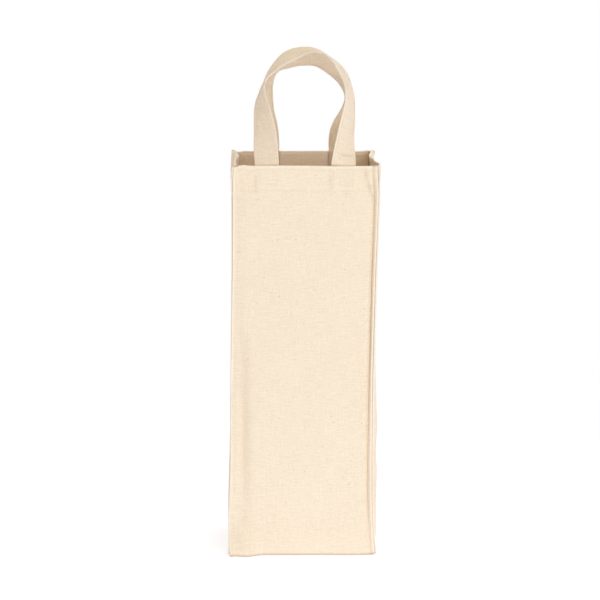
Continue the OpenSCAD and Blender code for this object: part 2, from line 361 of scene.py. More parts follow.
# For each gusset: how far out the middle of its depth stands, by height, how squarely it turns in to
# the front and back seams, how far its rim is dented and how far it stands out behind the front seam
gussets = {
    "right": {
        "side": 1, "square": (7.0, 3.4),
        "shoulder": ((0, 0), (150, 0), (200, -0.6), (280, -0.9), (305, -0.7), (320, -0.5), (330, 0.5),
                     (338, 1.7), (345, 2.9), (350, 3.5)),
        "middle": ((0, 61.0), (5, 64.0), (12, 66.5), (20, 67.0), (32, 67.0), (50, 67.7), (66, 67.5),
                   (104, 67.0), (145, 65.8), (180, 64.4), (213, 64.3), (250, 64.6), (290, 64.6),
                   (313, 64.5), (330, 64.5), (340, 64.8), (350, 63.2)),
        "rimDent": 3.0, "dentAt": 0.42, "dentWidth": 0.5,
    },
    "left": {
        "side": -1, "square": (2.6, 2.6), "shoulder": ((0, 0), (350, 0)),
        "middle": ((0, 60.9), (6, 61.8), (18, 62.8), (50, 63.0), (120, 62.4), (190, 61.7), (250, 61.4),
                   (310, 61.7), (336, 62.0), (350, 61.4)),
        "rimDent": 3.2, "dentAt": 0.4, "dentWidth": 0.5,
    },
}

# What both gussets share
gussetForm = {
    "lipTo": -0.5,  # where the hidden lip ends, from the stitch line
    "leave": 1.3,  # where the shown layer starts to turn into the wall
    "inset": 4.2,  # and how far in the turn ends
    "seamPull": 4.5, "wallPull": 5.5,  # how strongly the turn follows the seam and the wall
    "clear": 0.6,  # how far the wall's ends stand out from the seams' middles
    "dentFrom": (318.0, 32.0), "dentGrows": 1.6, "dentSquare": 4,
    "shoulderAt": -0.78, "shoulderWidth": 0.26, "shoulderBlur": 2.5,
}
panelPull = 0.8  # how strongly a panel's dip follows its seam


def seamAt(name, z):
    # the stitch line, the direction out to the seam's edge and the one through it to the panel's side
    s = seams[name]
    edge, line, sunk = (drawn(s[k], z) for k in ("edge", "line", "sunk"))
    cos = np.clip((edge - line) / bag["flange"], bag["flangeSeen"], 1)
    sin = np.sqrt(1 - cos ** 2)
    along = np.stack([s["side"] * cos, s["end"] * sin], -1)
    out = np.stack([-s["side"] * sin, s["end"] * cos], -1)
    line = np.stack([s["side"] * line, s["end"] * (bag["panelMid"] - sunk)], -1)
    return line - bag["layers"][1] * bag["cloth"] * out, along, out


def foldedEdge(seam, hidden, shown, lipTo, lineTo, past=0.0):
    # cloth turned back along a seam's edge, from the hidden lip round the fold to the shown layer. Both
    # layers are given in cloths from the middle of the seam
    line, along, out = (v[:, None, :] for v in seam)
    c, middle = bag["cloth"], (hidden + shown) / 2
    foldAt = bag["flange"] - c
    lip = np.linspace(lipTo, foldAt, counts["lip"])[None, :, None]
    turn = np.linspace(0, math.pi, counts["fold"])[None, 1:-1, None]
    face = np.linspace(foldAt, lineTo, counts["face"])[None, :, None]
    past = np.broadcast_to(past, len(line))[:, None, None]
    points = np.concatenate([
        line + hidden * c * out + along * (lip + past * (lip - lipTo) / (foldAt - lipTo)),
        line + middle * c * out + (hidden - middle) * c * out * np.cos(turn)
        + along * (foldAt + past + c / 2 * np.sin(turn)),
        line + shown * c * out + along * (face + past * (face - lineTo) / (foldAt - lineTo)),
    ], 1)
    lengths = np.concatenate([foldAt - lip.ravel() + math.pi * c / 2 + foldAt,
                              foldAt + c / 2 * (math.pi - turn.ravel()), face.ravel()])
    return points, lengths  # the lengths lie along the cloth, from the stitch line out


def panelWall(start, end, z):
    # the front or back cloth at heights z, from one seam to the next, anticlockwise seen from above
    a, b = seamAt(start, z), seamAt(end, z)
    hidden, shown = bag["layers"]
    head, y = -seams[start]["side"], seams[start]["end"] * bag["panelMid"]
    first, outA = foldedEdge(a, hidden, shown, -bag["cloth"], 0.0)
    last, outB = foldedEdge(b, hidden, shown, -bag["cloth"], 0.0)
    fromA, fromB = (v[0] + shown * bag["cloth"] * v[2] for v in (a, b))
    wideA, wideB = seams[start]["dip"], seams[end]["dip"]
    level = np.array([head, 0.0])[None, :] * np.ones((len(z), 1))
    dipA = np.stack([fromA[:, 0] + head * wideA, np.full(len(z), y)], -1)
    dipB = np.stack([fromB[:, 0] - head * wideB, np.full(len(z), y)], -1)
    t = np.linspace(0, 1, counts["dip"])
    middle = np.linspace(0, 1, counts["panel"])[1:-1]
    points = np.concatenate([
        first,
        hermite(fromA, -a[1] * wideA * panelPull, dipA, level * wideA, t[1:]),
        dipA[:, None, :] + (dipB - dipA)[:, None, :] * middle[None, :, None],
        hermite(dipB, level * wideB, fromB, b[1] * wideB * panelPull, t[:-1]),
        last[:, ::-1],
    ], 1)
    half = bag["panelHalf"]
    s = np.concatenate([
        -half - outA, -half + wideA * t[1:], (-half + wideA) + (2 * half - wideA - wideB) * middle,
        half - wideB * (1 - t[:-1]), half + outB[::-1]])
    return points, s, len(outA) - 1


def gussetOut(name, z, v):
    # distance of a gusset's cloth from the bag's middle, at heights z and places v, from -1 at the
    # front to 1 at the back
    g, form = gussets[name], gussetForm
    front, back = (np.abs(seamAt(end + name.title(), z)[0][:, 0]) + form["clear"]
                   for end in ("front", "back"))
    z, front, back = z[:, None], front[:, None], back[:, None]
    chord = front * (1 - v) / 2 + back * (1 + v) / 2
    rise = drawn(g["middle"], z) - (front + back) / 2
    dent = g["rimDent"] * rises(z, *form["dentFrom"]) ** form["dentGrows"]
    dent = dent * bump(v - g["dentAt"], g["dentWidth"]) * within(v, 1.0, form["dentSquare"])
    shoulder = drawn(g["shoulder"], z, form["shoulderBlur"])
    shoulder = shoulder * bump(v - form["shoulderAt"], form["shoulderWidth"])
    return chord + rise * (1 - np.abs(v) ** np.where(v < 0, *g["square"])) + shoulder - dent


def gussetWall(name, start, end, z):
    # a gusset at heights z, from one seam to the next, anticlockwise seen from above
    a, b = seamAt(start, z), seamAt(end, z)
    hidden, shown = bag["layers"]
    lipTo, leave, inset, seamPull, wallPull = (
        gussetForm[k] for k in ("lipTo", "leave", "inset", "seamPull", "wallPull"))
    side, head = gussets[name]["side"], -seams[start]["end"]
    pastA, pastB = (drawn(seams[k]["past"], z) / np.abs(v[1][:, 0]) for k, v in ((start, a), (end, b)))
    first, outA = foldedEdge(a, -hidden, -shown, lipTo, leave, pastA)
    last, outB = foldedEdge(b, -hidden, -shown, lipTo, leave, pastB)
    fromA, fromB = (v[0] - shown * bag["cloth"] * v[2] + leave * v[1] for v in (a, b))
    yA, yB = a[0][:, 1] + head * inset, b[0][:, 1] - head * inset
    step = np.linspace(0, 1, counts["gusset"])
    y = yA[:, None] + (yB - yA)[:, None] * step[None, :]
    wall = np.stack([side * gussetOut(name, z, y / bag["panelMid"]), y], -1)
    leadA, leadB = unit(wall[:, 1] - wall[:, 0]), unit(wall[:, -1] - wall[:, -2])
    t = np.linspace(0, 1, counts["turn"])[1:-1]
    points = np.concatenate([
        first,
        hermite(fromA, -a[1] * seamPull, wall[:, 0], leadA * wallPull, t),
        wall,
        hermite(wall[:, -1], leadB * wallPull, fromB, b[1] * seamPull, t),
        last[:, ::-1],
    ], 1)
    half = bag["gussetHalf"]
    s = np.concatenate([
        -half - outA, -half - leave + (leave + inset) * t, (-half + inset) + 2 * (half - inset) * step,
        (half - inset) + (inset + leave) * t, half + outB[::-1]])
    return points, s, len(outA) - 1


# How the cloth has settled: the same soft moves for everything that is sewn to the bag

# A pair with From in its name is where a move starts and the distance to its full size, negative where
# it leads the other way. A pair with Within is how far out it ends, and how squarely
settling = {
    "seeds": {"front": 3, "back": 11, "right": 21, "left": 31},
    "bulge": 1.5, "bulgeWithin": (62.0, 2), "bulgeSquare": 0.8,  # at the middle of a panel
    "wave": 0.38, "waveLength": 62.0, "waveFrom": (345.0, -40.0), "noiseWithin": (66.0, 4),
    "ripple": 0.13, "rippleLength": 17.0,
    "gussetWave": 1.5, "gussetWaveLength": 44.0, "gussetWaveFrom": (0.0, 20.0),
    "gussetRippleLength": 15.0, "gussetWithin": (44.0, 4),
    # how far the strap ends show through the cloth, from what height and between which edges
    "tailPrint": 0.5, "printFrom": (329.0, 3.0), "printEdges": ((22.2, 1.6), (44.2, 1.6)),
    # ridge at the hem's end, and the grooves that its row and the rim's row pull in: depth and width
    "hemRidge": (0.16, 1.5), "hemGroove": (0.12, 0.9), "rimGroove": (0.12, 1.0),
    # the foot of the front flares, most of all at its left
    "flare": 2.8, "flareFrom": (46.0, -46.0), "flareWithin": (68.0, 8),
    "toe": 6.6, "toeFrom": (27.0, -27.0), "toeSideFrom": (-34.0, -17.0), "toeWithin": (72.0, 12),
    # the front and back moves start this far from the bag's middle and are full this far within the
    # cloth, and the sides' moves start and grow like this
    "endFrom": 22.0, "endInset": 4.0, "sideFrom": (34.0, 24.0),
    "bagTop": (0.5, 8.0),  # all moves fade from this far above the rim, over this height
    # the foot's two front corners are lifted: start and distance across, and by how much
    "corners": ((61.0, 3.5, 1.3), (-62.6, -2.4, 1.8)), "cornerFrom": (5.0, -5.0),
    # all walls turn in to the base, this far out across the bag and along its depth
    "footIn": 0.75, "footHeight": 1.7, "footReach": (62.0, 42.0),
    "foldDepths": (0.35, 0.65), "foldSpan": (0.06, 0.94),  # how a fold deepens to its middle
    # soft folds: end points on the panel, width and depth
    "frontFolds": (
        ((-53.0, 190), (-51.6, 36), 4.6, 2.5),
        ((-22.0, 322), (-60.0, 300), 9.0, 0.25),
        ((25.0, 60), (60.0, 20), 9.0, 0.35),
    ),
    # and narrow creases in the front
    "frontCreases": (
        ((53.3, 348), (55.2, 338), 1.3, 0.9),
        ((55.2, 338), (57.2, 328), 1.3, 0.9),
        ((57.2, 328), (60.6, 319), 1.3, 0.6),
        ((-44.3, 342), (-44.0, 328), 1.0, 0.6),
        ((22.4, 343), (22.8, 328), 1.0, 0.6),
        ((-53.2, 200), (-51.8, 34), 4.4, 0.35),
    ),
    "backFolds": (
        ((50.5, 130), (53.0, 30), 5.0, 1.6),
        ((-54.0, 330), (-38.0, 240), 6.0, 1.2),
        ((-8.0, 34), (-60.0, 96), 8.0, 1.1),
        ((20.0, 322), (58.0, 286), 7.0, 0.8),
    ),
    "rightFolds": (
        ((-6.0, 340), (0.0, 205), 5.5, 2.4),
        ((10.0, 96), (1.0, 14), 6.0, 2.0),
        ((-38.0, 205), (22.0, 150), 9.0, 0.9),
        ((24.0, 262), (38.0, 210), 6.0, 0.8),
    ),
    "leftFolds": (
        ((6.0, 342), (-1.0, 228), 5.5, 2.3),
        ((-8.0, 112), (2.0, 18), 6.0, 1.8),
        ((36.0, 196), (-20.0, 148), 9.0, 0.9),
        ((-36.0, 275), (-22.0, 215), 6.0, 0.8),
    ),
}

# The rim isn't level. Bumps are place across, width and height, and steps are start, distance and height
rim = {
    "from": (312.0, 36.0), "sharpFrom": (340.0, 9.0), "ends": (10.0, 25.0),
    "wave": 0.26, "frontLess": 0.14,  # the rim's soft waves, and how much less there is at the front
    "waveLength": 48.0, "seed": 41, "shift": 300, "stretch": 1.3,
    "frontBumps": ((-52.6, 1.8, 0.7),),
    "frontSteps": ((58.6, 2.0, 0.9),),
    "backBumps": ((-56.5, 3.0, -0.9), (-45.0, 9.0, -0.8), (44.0, 9.0, -0.8)),
    "backSteps": ((-57.0, -5.0, 1.3), (52.0, 12.0, 0.9)),
}


def creases(folds, a, z):
    # depth at (a, z) of soft grooves along straight lines
    shallow, more = settling["foldDepths"]
    total = 0
    for (a0, z0), (a1, z1), width, depth in folds:
        line = np.array([a1 - a0, z1 - z0])
        t = ((a - a0) * line[0] + (z - z0) * line[1]) / (line @ line)
        near = np.clip(t, 0, 1)
        off = np.hypot(a - a0 - near * line[0], z - z0 - near * line[1])
        full = shallow + more * np.sin(math.pi * np.clip(t, *settling["foldSpan"]))
        total = total + depth * bump(off, width) * full
    return total


def groove(z, at, depth, width):
    return depth * bump(z - at, width)


def hemLines(z):
    # the ridge of the hem's end and the groove of its stitches
    end = bag["height"] - bag["hem"]
    return (groove(z, end, *settling["hemRidge"])
            - groove(z, end + bag["hemStitch"], *settling["hemGroove"]))


def panelOut(name, x, z):
    # how far the front or back panel stands out from its plane
    s = settling
    seed, still = s["seeds"][name], within(x, *s["noiseWithin"])
    level = np.clip(z / bag["height"], 0, 1)
    out = s["bulge"] * within(x, *s["bulgeWithin"]) * np.sin(math.pi * level) ** s["bulgeSquare"]
    out = out + s["wave"] * softNoise(x, z, s["waveLength"], seed) * still * rises(z, *s["waveFrom"])
    out = out + s["ripple"] * softNoise(x, z, s["rippleLength"], seed + 1) * still
    out = out - creases(s[name + "Folds"], x, z)
    near, far = (rises(np.abs(x), *edge) for edge in s["printEdges"])
    out = out + s["tailPrint"] * (rises(z, *s["printFrom"]) * (near - far))
    out = out + hemLines(z) - groove(z, bag["height"] - bag["rimStitch"], *s["rimGroove"])
    if name == "front":
        out = out - creases(s["frontCreases"], x, z)
        out = out + s["flare"] * rises(z, *s["flareFrom"]) * within(x, *s["flareWithin"])
        toe = s["toe"] * rises(z, *s["toeFrom"]) * rises(x, *s["toeSideFrom"])
        out = out + toe * within(x, *s["toeWithin"])
    return out


def gussetMove(name, y, z):
    # how far a gusset stands out from its form
    s = settling
    seed, still = s["seeds"][name], within(y, *s["gussetWithin"])
    wave = s["wave"] * s["gussetWave"] * softNoise(y, z, s["gussetWaveLength"], seed)
    out = wave * still * rises(z, *s["gussetWaveFrom"])
    out = out + s["ripple"] * softNoise(y, z, s["gussetRippleLength"], seed + 1) * still
    return out - creases(s[name + "Folds"], y, z) * still + hemLines(z)


def rimRise(x, y, z):
    def outline(end):
        return (sum(high * bump(x - at, wide) for at, wide, high in rim[end + "Bumps"])
                + sum(high * rises(x, at, over) for at, over, high in rim[end + "Steps"]))

    front, back = rises(-y, *rim["ends"]), rises(y, *rim["ends"])
    noise = softNoise(x + rim["shift"], y * rim["stretch"], rim["waveLength"], rim["seed"])
    rise = (rim["wave"] - rim["frontLess"] * front) * noise
    rise = rise + front * outline("front") * rises(z, *rim["sharpFrom"]) + back * outline("back")
    return rise * rises(z, *rim["from"])


def settle(points):
    # moves points of the bag, and what is sewn to it, the way the cloth has settled
    s = settling
    x, y, z = (points[..., i].copy() for i in range(3))
    start, over = s["bagTop"]
    onBag = 1 - rises(z, bag["height"] + start, over)
    reach = bag["panelMid"] - s["endInset"] - s["endFrom"]
    front, back = rises(-y, s["endFrom"], reach), rises(y, s["endFrom"], reach)
    right, left = rises(x, *s["sideFrom"]), rises(-x, *s["sideFrom"])
    moved = points.copy()
    moved[..., 0] += onBag * (right * gussetMove("right", y, z) - left * gussetMove("left", y, z))
    moved[..., 1] += onBag * (-front * panelOut("front", x, z) + back * panelOut("back", x, z))
    moved[..., 2] += onBag * rimRise(x, y, z)
    corner = sum(high * rises(x, at, over) for at, over, high in s["corners"])
    moved[..., 2] += corner * rises(z, *s["cornerFrom"]) * front
    # the foot of each wall turns in on a quarter circle
    low = np.clip((s["footHeight"] - z) / s["footHeight"], 0, 1)
    foot = s["footIn"] * (1 - np.sqrt(np.clip(1 - low ** 2, 0, 1)))
    moved[..., 0] += foot * (left - right) * (np.abs(y) < s["footReach"][1])
    moved[..., 1] += foot * (front - back) * (np.abs(x) < s["footReach"][0])
    return moved


# Straps: their sizes, and how each one lies

strap = {
    "width": 21.3, "thick": 2.2, "spacing": 66.5, "tail": 18.5, "loop": 81.0,
    "foot": 42.1,  # middle of a strap's feet, from the middle of the bag
    "gap": 0.6, "leanWidth": 22.0,  # between the two straps at the top, and the width that leans there
    "lean": 1.15, "spread": 2.5,  # how late the legs lean in, and spread to the loop's width
    "rimGap": (0.3, 2.0),  # how far a loop is lifted off the rim, and over what height
    "stitchIn": 2.4,
    "ring": 1.25,  # distance between rings along a strap
    "aside": 0.9,  # the direction at a ring is taken from points this far to both sides
    "bendLow": 0.0, "bendHigh": 13.0,  # from the rim, where a strap bends as it swings
    "loose": 25.0,  # unevenness grows over this distance from the feet
    # unevenness: size, length along the strap, and how much faster it changes across
    "cup": (0.5, 70.0, 0.0), "ripple": (0.16, 16.0, 2.2),
    "wide": (0.014, 30.0, 0.0), "puff": (0.10, 22.0, 0.7),
    "cupHalf": 11.0, "cupLevel": 0.4,  # a cup's half width, and how far its middle sinks
    "clothApart": 40.0,  # keeps the weave of one face apart from that of the other
    "creaseWidth": 1.1, "creaseSlant": 0.05, "creaseEnds": 3.0,
    "paintedLegShadeFrom": (30.0, 40.0),  # from the top, where painted shade starts on the left leg, which faces away from the light
}
# Outline of a folded strap: how its points crowd to the edges and how square the edges are, the groove
# of the stitches, the bead at the edge, and both edges as (out, up), of which one is open
section = {
    "points": 30, "crowd": 0.82, "square": 9,
    "groove": 0.2, "grooveWidth": 0.75, "grooveEnd": 0.6,
    "bead": 0.1, "beadIn": 1.1, "beadWidth": 0.6,
    "open": ((-0.03, 0.3), (-0.2, 0.0), (-0.03, -0.3)),
    "closed": ((0.0, 0.35), (0.02, 0.0), (0.0, -0.35)),
}
handles = {
    "frontStrap": {
        # its left leg is darkened by painted shade, as it faces away from the light
        "end": -1, "rise": 96.5, "skew": 0.0, "body": "front_handle", "seed": 5, "paintedLegShade": 0.15,
        "nodes": ("front_handle", "front_handle_tails"),
        # place along the strap from 0 to 1, how far it has moved to the right and up as shares of the
        # loop's width, and its turn in degrees, from 90 flat to the view to 0 edge on
        "lie": ((0, 0.004, 0, 90), (0.07, -0.007, -0.001, 80), (0.14, 0.005, 0.002, 59),
                (0.21, 0.029, 0.015, 34), (0.28, 0.041, 0.018, -2), (0.35, 0.056, -0.004, 8),
                (0.42, 0.053, -0.007, 22), (0.5, 0.035, 0.008, 7), (0.58, -0.003, 0.018, -5),
                (0.65, -0.023, 0.006, 4), (0.72, -0.014, 0.006, 14), (0.79, -0.006, 0.002, 27),
                (0.86, 0.019, -0.001, 41), (0.93, 0.02, -0.002, 55), (1, 0.006, 0, 90)),
        # creases across the strap: place along it from 0 to 1, from and to across it, depth
        "creases": ((0.962, -4.0, 8.0, 1.1),),
    },
    "backStrap": {
        "end": 1, "rise": 90.0, "skew": 2.5, "body": "back_handle", "seed": 8, "paintedLegShade": 0.0,
        "nodes": ("back_handle", "back_handle_tails"),
        "lie": ((0, 0.023, 0, 90), (0.07, 0.033, 0, 57), (0.14, 0.049, 0, 40),
                (0.21, 0.064, -0.001, 41), (0.28, 0.046, -0.01, 26), (0.35, 0.012, -0.035, 16),
                (0.42, -0.01, -0.035, 37), (0.5, -0.029, -0.024, 46), (0.58, -0.049, -0.012, 43),
                (0.65, -0.05, -0.013, 41), (0.72, -0.037, -0.009, 25), (0.79, -0.016, 0.003, 15),
                (0.86, -0.007, 0.001, 23), (0.93, 0.001, 0, 57), (1, 0.016, 0, 90)),
        "creases": ((0.05, -7.0, 5.0, 0.4),),
    },
}


def footPlaces(name):
    # where the two feet of a strap stand, across the bag
    lie = handles[name]["lie"]
    ends = ((-1, lie[0]), (1, lie[-1]))
    return tuple(side * strap["spacing"] / 2 + strap["loop"] * row[1] for side, row in ends)


# Sheets: a grid of points along the cloth (s) and up it (t)

# Heights of the rows of points up a wall, and depths of those down its hem: place and step from there
heights = spaced((0.25, 0.7), (3.0, 1.6), (12.0, 2.2), (322.0, 1.3), (326.0, 0.8), (330.0, 1.4),
                 (344.0, 0.8), (bag["height"] - bag["cloth"] / 2, 1.0))
depths = spaced((0.0, 0.8), (4.0, 1.6), (bag["hem"] - 4.0, 0.8), (bag["hem"], 1.0))
hemSkips = {"panel": 2, "gusset": 8}  # a hem ends this many points in from each seam's fold


def gridNormals(points):
    return unit(np.cross(np.gradient(points, axis=1), np.gradient(points, axis=0)))


def hemmed(wall, skip, around=0.4):
    # a wall with its hem folded over the rim and down the inside
    r = bag["cloth"] / 2
    rimZ = bag["height"] - r

    def shell(z):
        points, s, edge = wall(z)
        level = np.broadcast_to(z[:, None, None], (*points.shape[:2], 1))
        return np.concatenate([points, level], -1), s, edge

    def inward(z):
        low, high, here = (shell(z + d)[0] for d in (-around, around, 0.0))
        return -unit(np.cross(np.gradient(here, axis=1), high - low))

    upright, s, edge = shell(heights)
    top = np.array([rimZ])
    turn = np.linspace(0, math.pi, counts["rim"])[1:-1]
    fold = (shell(top)[0] + inward(top) * r * (1 - np.cos(turn))[:, None, None]
            + up * (r * np.sin(turn))[:, None, None])
    hem = shell(rimZ - depths)[0] + inward(rimZ - depths) * 2 * r
    points = settle(np.concatenate([upright, fold, hem]))
    t = np.concatenate([heights, rimZ + r * turn, rimZ + math.pi * r + depths])
    first, last = edge + skip, points.shape[1] - 1 - edge - skip
    keep = np.ones((points.shape[0] - 1, points.shape[1] - 1), bool)
    keep[len(heights) - 1:, :first] = False
    keep[len(heights) - 1:, last:] = False
    return {"points": points, "s": s, "t": t, "keep": keep, "normals": gridNormals(points),
            "hemT": rimZ + math.pi * r - r}


def onSheet(sheet, s, t, lift=0.0):
    # points on a sheet at places (s, t) along the cloth, lifted off its middle along its normal
    s, t = np.broadcast_arrays(np.asarray(s, float), np.asarray(t, float))
    order = 1 if sheet["s"][-1] > sheet["s"][0] else -1
    i = np.interp(s, sheet["s"][::order], np.arange(len(sheet["s"]))[::order])
    j = np.interp(t, sheet["t"], np.arange(len(sheet["t"])))
    i0 = np.minimum(i.astype(int), len(sheet["s"]) - 2)
    j0 = np.minimum(j.astype(int), len(sheet["t"]) - 2)
    fi, fj = (i - i0)[:, None], (j - j0)[:, None]

    def at(grid):
        return ((grid[j0, i0] * (1 - fi) + grid[j0, i0 + 1] * fi) * (1 - fj)
                + (grid[j0 + 1, i0] * (1 - fi) + grid[j0 + 1, i0 + 1] * fi) * fj)

    normals = unit(at(sheet["normals"]))
    return at(sheet["points"]) + normals * lift, normals


def makeMesh(name, points, faces, uv, marks=None):
    mesh = bpy.data.meshes.new(name)
    mesh.from_pydata((points * metre).tolist(), [], faces)
    mesh.polygons.foreach_set("use_smooth", np.ones(len(mesh.polygons), bool))
    corners = np.zeros(len(mesh.loops), np.int32)
    mesh.loops.foreach_get("vertex_index", corners)
    layer = mesh.uv_layers.new(name="cloth")
    layer.data.foreach_set("uv", (uv[corners] * metre).astype(np.float32).ravel())
    for label, values in (marks or {}).items():
        attribute = mesh.attributes.new(label, "FLOAT", "POINT")
        attribute.data.foreach_set("value", values.astype(np.float32).ravel())
    mesh.update()
    piece = bpy.data.objects.new(name, mesh)
    scene.collection.objects.link(piece)
    return piece


def gridFaces(rows, columns, keep=None, wrap=False):
    index = np.arange(rows * columns).reshape(rows, columns)
    if wrap:
        index = np.concatenate([index, index[:, :1]], 1)
    quads = np.stack([index[:-1, :-1], index[:-1, 1:], index[1:, 1:], index[1:, :-1]], -1)
    return quads[keep] if keep is not None else quads.reshape(-1, 4)


def endFaces(rows, columns):
    # the two faces that close a tube of rings
    return [list(range(columns))[::-1], list(range((rows - 1) * columns, rows * columns))]


def thicken(piece):
    thick = piece.modifiers.new("clothThickness", "SOLIDIFY")
    thick.thickness, thick.offset = bag["clothDrawn"] * metre, 0
    return thick


def sheetPiece(name, sheet, marks):
    points = sheet["points"]
    quads = gridFaces(*points.shape[:2], keep=sheet["keep"])
    used, quads = np.unique(quads, return_inverse=True)
    uv = np.stack(np.broadcast_arrays(sheet["s"][None, :], sheet["t"][:, None]), -1).reshape(-1, 2)
    marks = {label: values.reshape(-1)[used] for label, values in marks.items()}
    piece = makeMesh(name, points.reshape(-1, 3)[used], quads.reshape(-1, 4).tolist(), uv[used], marks)
    thicken(piece).material_offset = 1
    return piece


# Painted shade: how dark the colour is painted where shadow falls, behind a seam's lip, in the dip
# beside a seam, where a strap leaves the rim, as a contact shadow along the ground, in creases, on a
# gusset behind a panel's fold, and in the corners inside
shading = {
    "lip": 0.85, "lipOver": 0.5,
    "valley": 0.42, "valleyWidth": 1.15, "valleyFrom": (12.0, 50.0), "valleyTo": (356.0, -24.0),
    "feet": 0.55, "feetPast": 0.8, "feetOver": 1.2, "feetFrom": (0.2, 0.9), "strapFrom": (1.2, -1.5),
    "ground": 0.9, "groundHeight": 1.5,
    "fold": 0.42,  # the front's creases
    "crease": 0.3, "creaseWidth": 0.7, "creaseLeast": 0.02,  # the straps' creases
    "behind": 1.0, "behindAt": 0.45, "behindWidth": 0.55, "behindFrom": ((38.2, 1.2), (40.0, 1.2)),
    "corner": 0.27, "cornerFrom": (30.0, 14.0),
}
# Rubbed paler folds, with a painted highlight where the rim's band runs wider inside: the folds of
# the upright edges, those of the rim, with widths outside and inside it, and the straps' edges
wearAndHighlight = {"edge": 1.3, "rimAt": 0.8, "rim": (2.4, 5.0), "strapEdge": 0.8}


def behindSeams(sheet, ends, tilt):
    # painted shade: 1 on a gusset where it goes out of sight behind the panels' folds
    x, y, z = (sheet["points"][..., i] for i in range(3))
    nearY, nearS = shading["behindFrom"]
    beside = rises(np.abs(sheet["s"][None, :]), *nearS)
    total = 0
    for seam in ends:
        past = np.abs(x) - drawn(seams[seam]["edge"], z[:, :1]) - tilt * (bag["panelMid"] - np.abs(y))
        near = rises(y * seams[seam]["end"], *nearY) * beside
        total = total + near * bump(past - shading["behindAt"], shading["behindWidth"])
    return total


def wallMarks(wall):
    # paler rubbed folds, painted highlight inside the rim, and painted shade where shadow falls
    sheet, edgeAt = wall["sheet"], wall["edgeAt"]
    s, t = sheet["s"][None, :], sheet["t"][:, None]
    off, above = np.abs(s), t - bag["height"]
    wornAndLit = np.maximum(bump(off - edgeAt, wearAndHighlight["edge"]),
                      bump(above - wearAndHighlight["rimAt"], np.where(above < wearAndHighlight["rimAt"], *wearAndHighlight["rim"])))
    shades = [shading["lip"] * rises(off, wall["lipAt"], shading["lipOver"]),
              shading["ground"] * bump(t, shading["groundHeight"])]
    for place, share in wall["valleys"]:
        sunk = rises(t, *shading["valleyFrom"]) * rises(t, *shading["valleyTo"])
        shades.append(share * shading["valley"] * sunk * bump(s - place, shading["valleyWidth"]))
    for place in wall.get("feet", ()):
        past = strap["width"] / 2 + shading["feetPast"]
        beside = rises(np.abs(s - place), past, -shading["feetOver"])
        shades.append(shading["feet"] * beside * rises(above, *shading["feetFrom"]))
    if "behind" in wall:
        hidden = behindSeams(sheet, wall["behind"], wall["tilt"])
        shades.append(shading["behind"] * wall["deep"] * hidden)
    if sheet is frontSheet:
        shades.append(shading["fold"] * creases(settling["frontCreases"], s, t) * (above < 0))
    inner = rises(above, 0.0, 1.0) * np.ones_like(s)
    start, over = shading["cornerFrom"]
    shades.append(shading["corner"] * inner * rises(off, edgeAt - start, over))
    shade = shades[0]
    for one in shades[1:]:
        shade = np.maximum(shade, one)
    return {"wornAndLit": wornAndLit, "shade": shade, "inner": inner}


frontSheet = hemmed(lambda z: panelWall("frontLeft", "frontRight", z), hemSkips["panel"])
backSheet = hemmed(lambda z: panelWall("backRight", "backLeft", z), hemSkips["panel"])
rightSheet = hemmed(lambda z: gussetWall("right", "frontRight", "backRight", z), hemSkips["gusset"])
leftSheet = hemmed(lambda z: gussetWall("left", "backLeft", "frontLeft", z), hemSkips["gusset"])

# All places are along the cloth: the fold of an edge, where the lip behind it starts and its painted
# shade begins, the valleys with their share of the painted shade, and the strap's feet. A gusset has
# the seams that hide it, how far the view slants past them, and how deep that painted shade is
panelEdges = {"edgeAt": 64.8, "lipAt": 64.95}
gussetEdges = {"edgeAt": 47.0, "lipAt": 47.9, "valleys": ((44.2, 0.5), (-44.2, 0.5))}
walls = {
    "frontCloth": {
        "sheet": frontSheet, "node": "front_panel", **panelEdges,
        "valleys": ((60.6, 1.0), (-60.6, 0.2)), "feet": footPlaces("frontStrap"),
    },
    "backCloth": {
        "sheet": backSheet, "node": "back_panel", **panelEdges,
        "valleys": ((60.6, 0.5), (-60.6, 0.5)), "feet": [-x for x in footPlaces("backStrap")],
    },
    "rightCloth": {
        "sheet": rightSheet, "node": "right_gusset", **gussetEdges,
        "behind": ("frontRight", "backRight"), "tilt": 0.06, "deep": 1.0,
    },
    "leftCloth": {
        "sheet": leftSheet, "node": "left_gusset", **gussetEdges,
        "behind": ("frontLeft", "backLeft"), "tilt": 0.01, "deep": 0.5,
    },
}
clothPieces = {}
for name, wall in walls.items():
    clothPieces[name] = sheetPiece(name, wall["sheet"], wallMarks(wall))
    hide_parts(wall["node"])
    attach(clothPieces[name], "bag")
print("walls done")


# Base: the cloth that the bag stands on, turned up inside the walls

base = {
    "rings": 26, "first": 0.02, "crowd": 0.8,  # rings of points, where the first is, and how they crowd
    "across": 48, "deep": 36,  # points along a ring's long and short sides
    "rounds": 3,  # how often the corners are rounded
    "outlineAt": 1.0,  # its flat part follows the walls' outline at this height
    "lift": 0.02, "arch": 0.5,  # how far it is off the floor, and how far its middle stands up
    "turn": 1.5, "turnRings": 6, "upRings": 7,  # radius and rings of the turn up, and rings above it
    "rowInset": 1.5,  # of its stitches, in cloths from the middle of the walls
    "half": 44.0,  # about half its depth: it makes a length at the edge a share of the outline's size
    "clothTurn": 0.4, "clothUp": 0.5,  # only used to lay the weave on the turned-up cloth
}


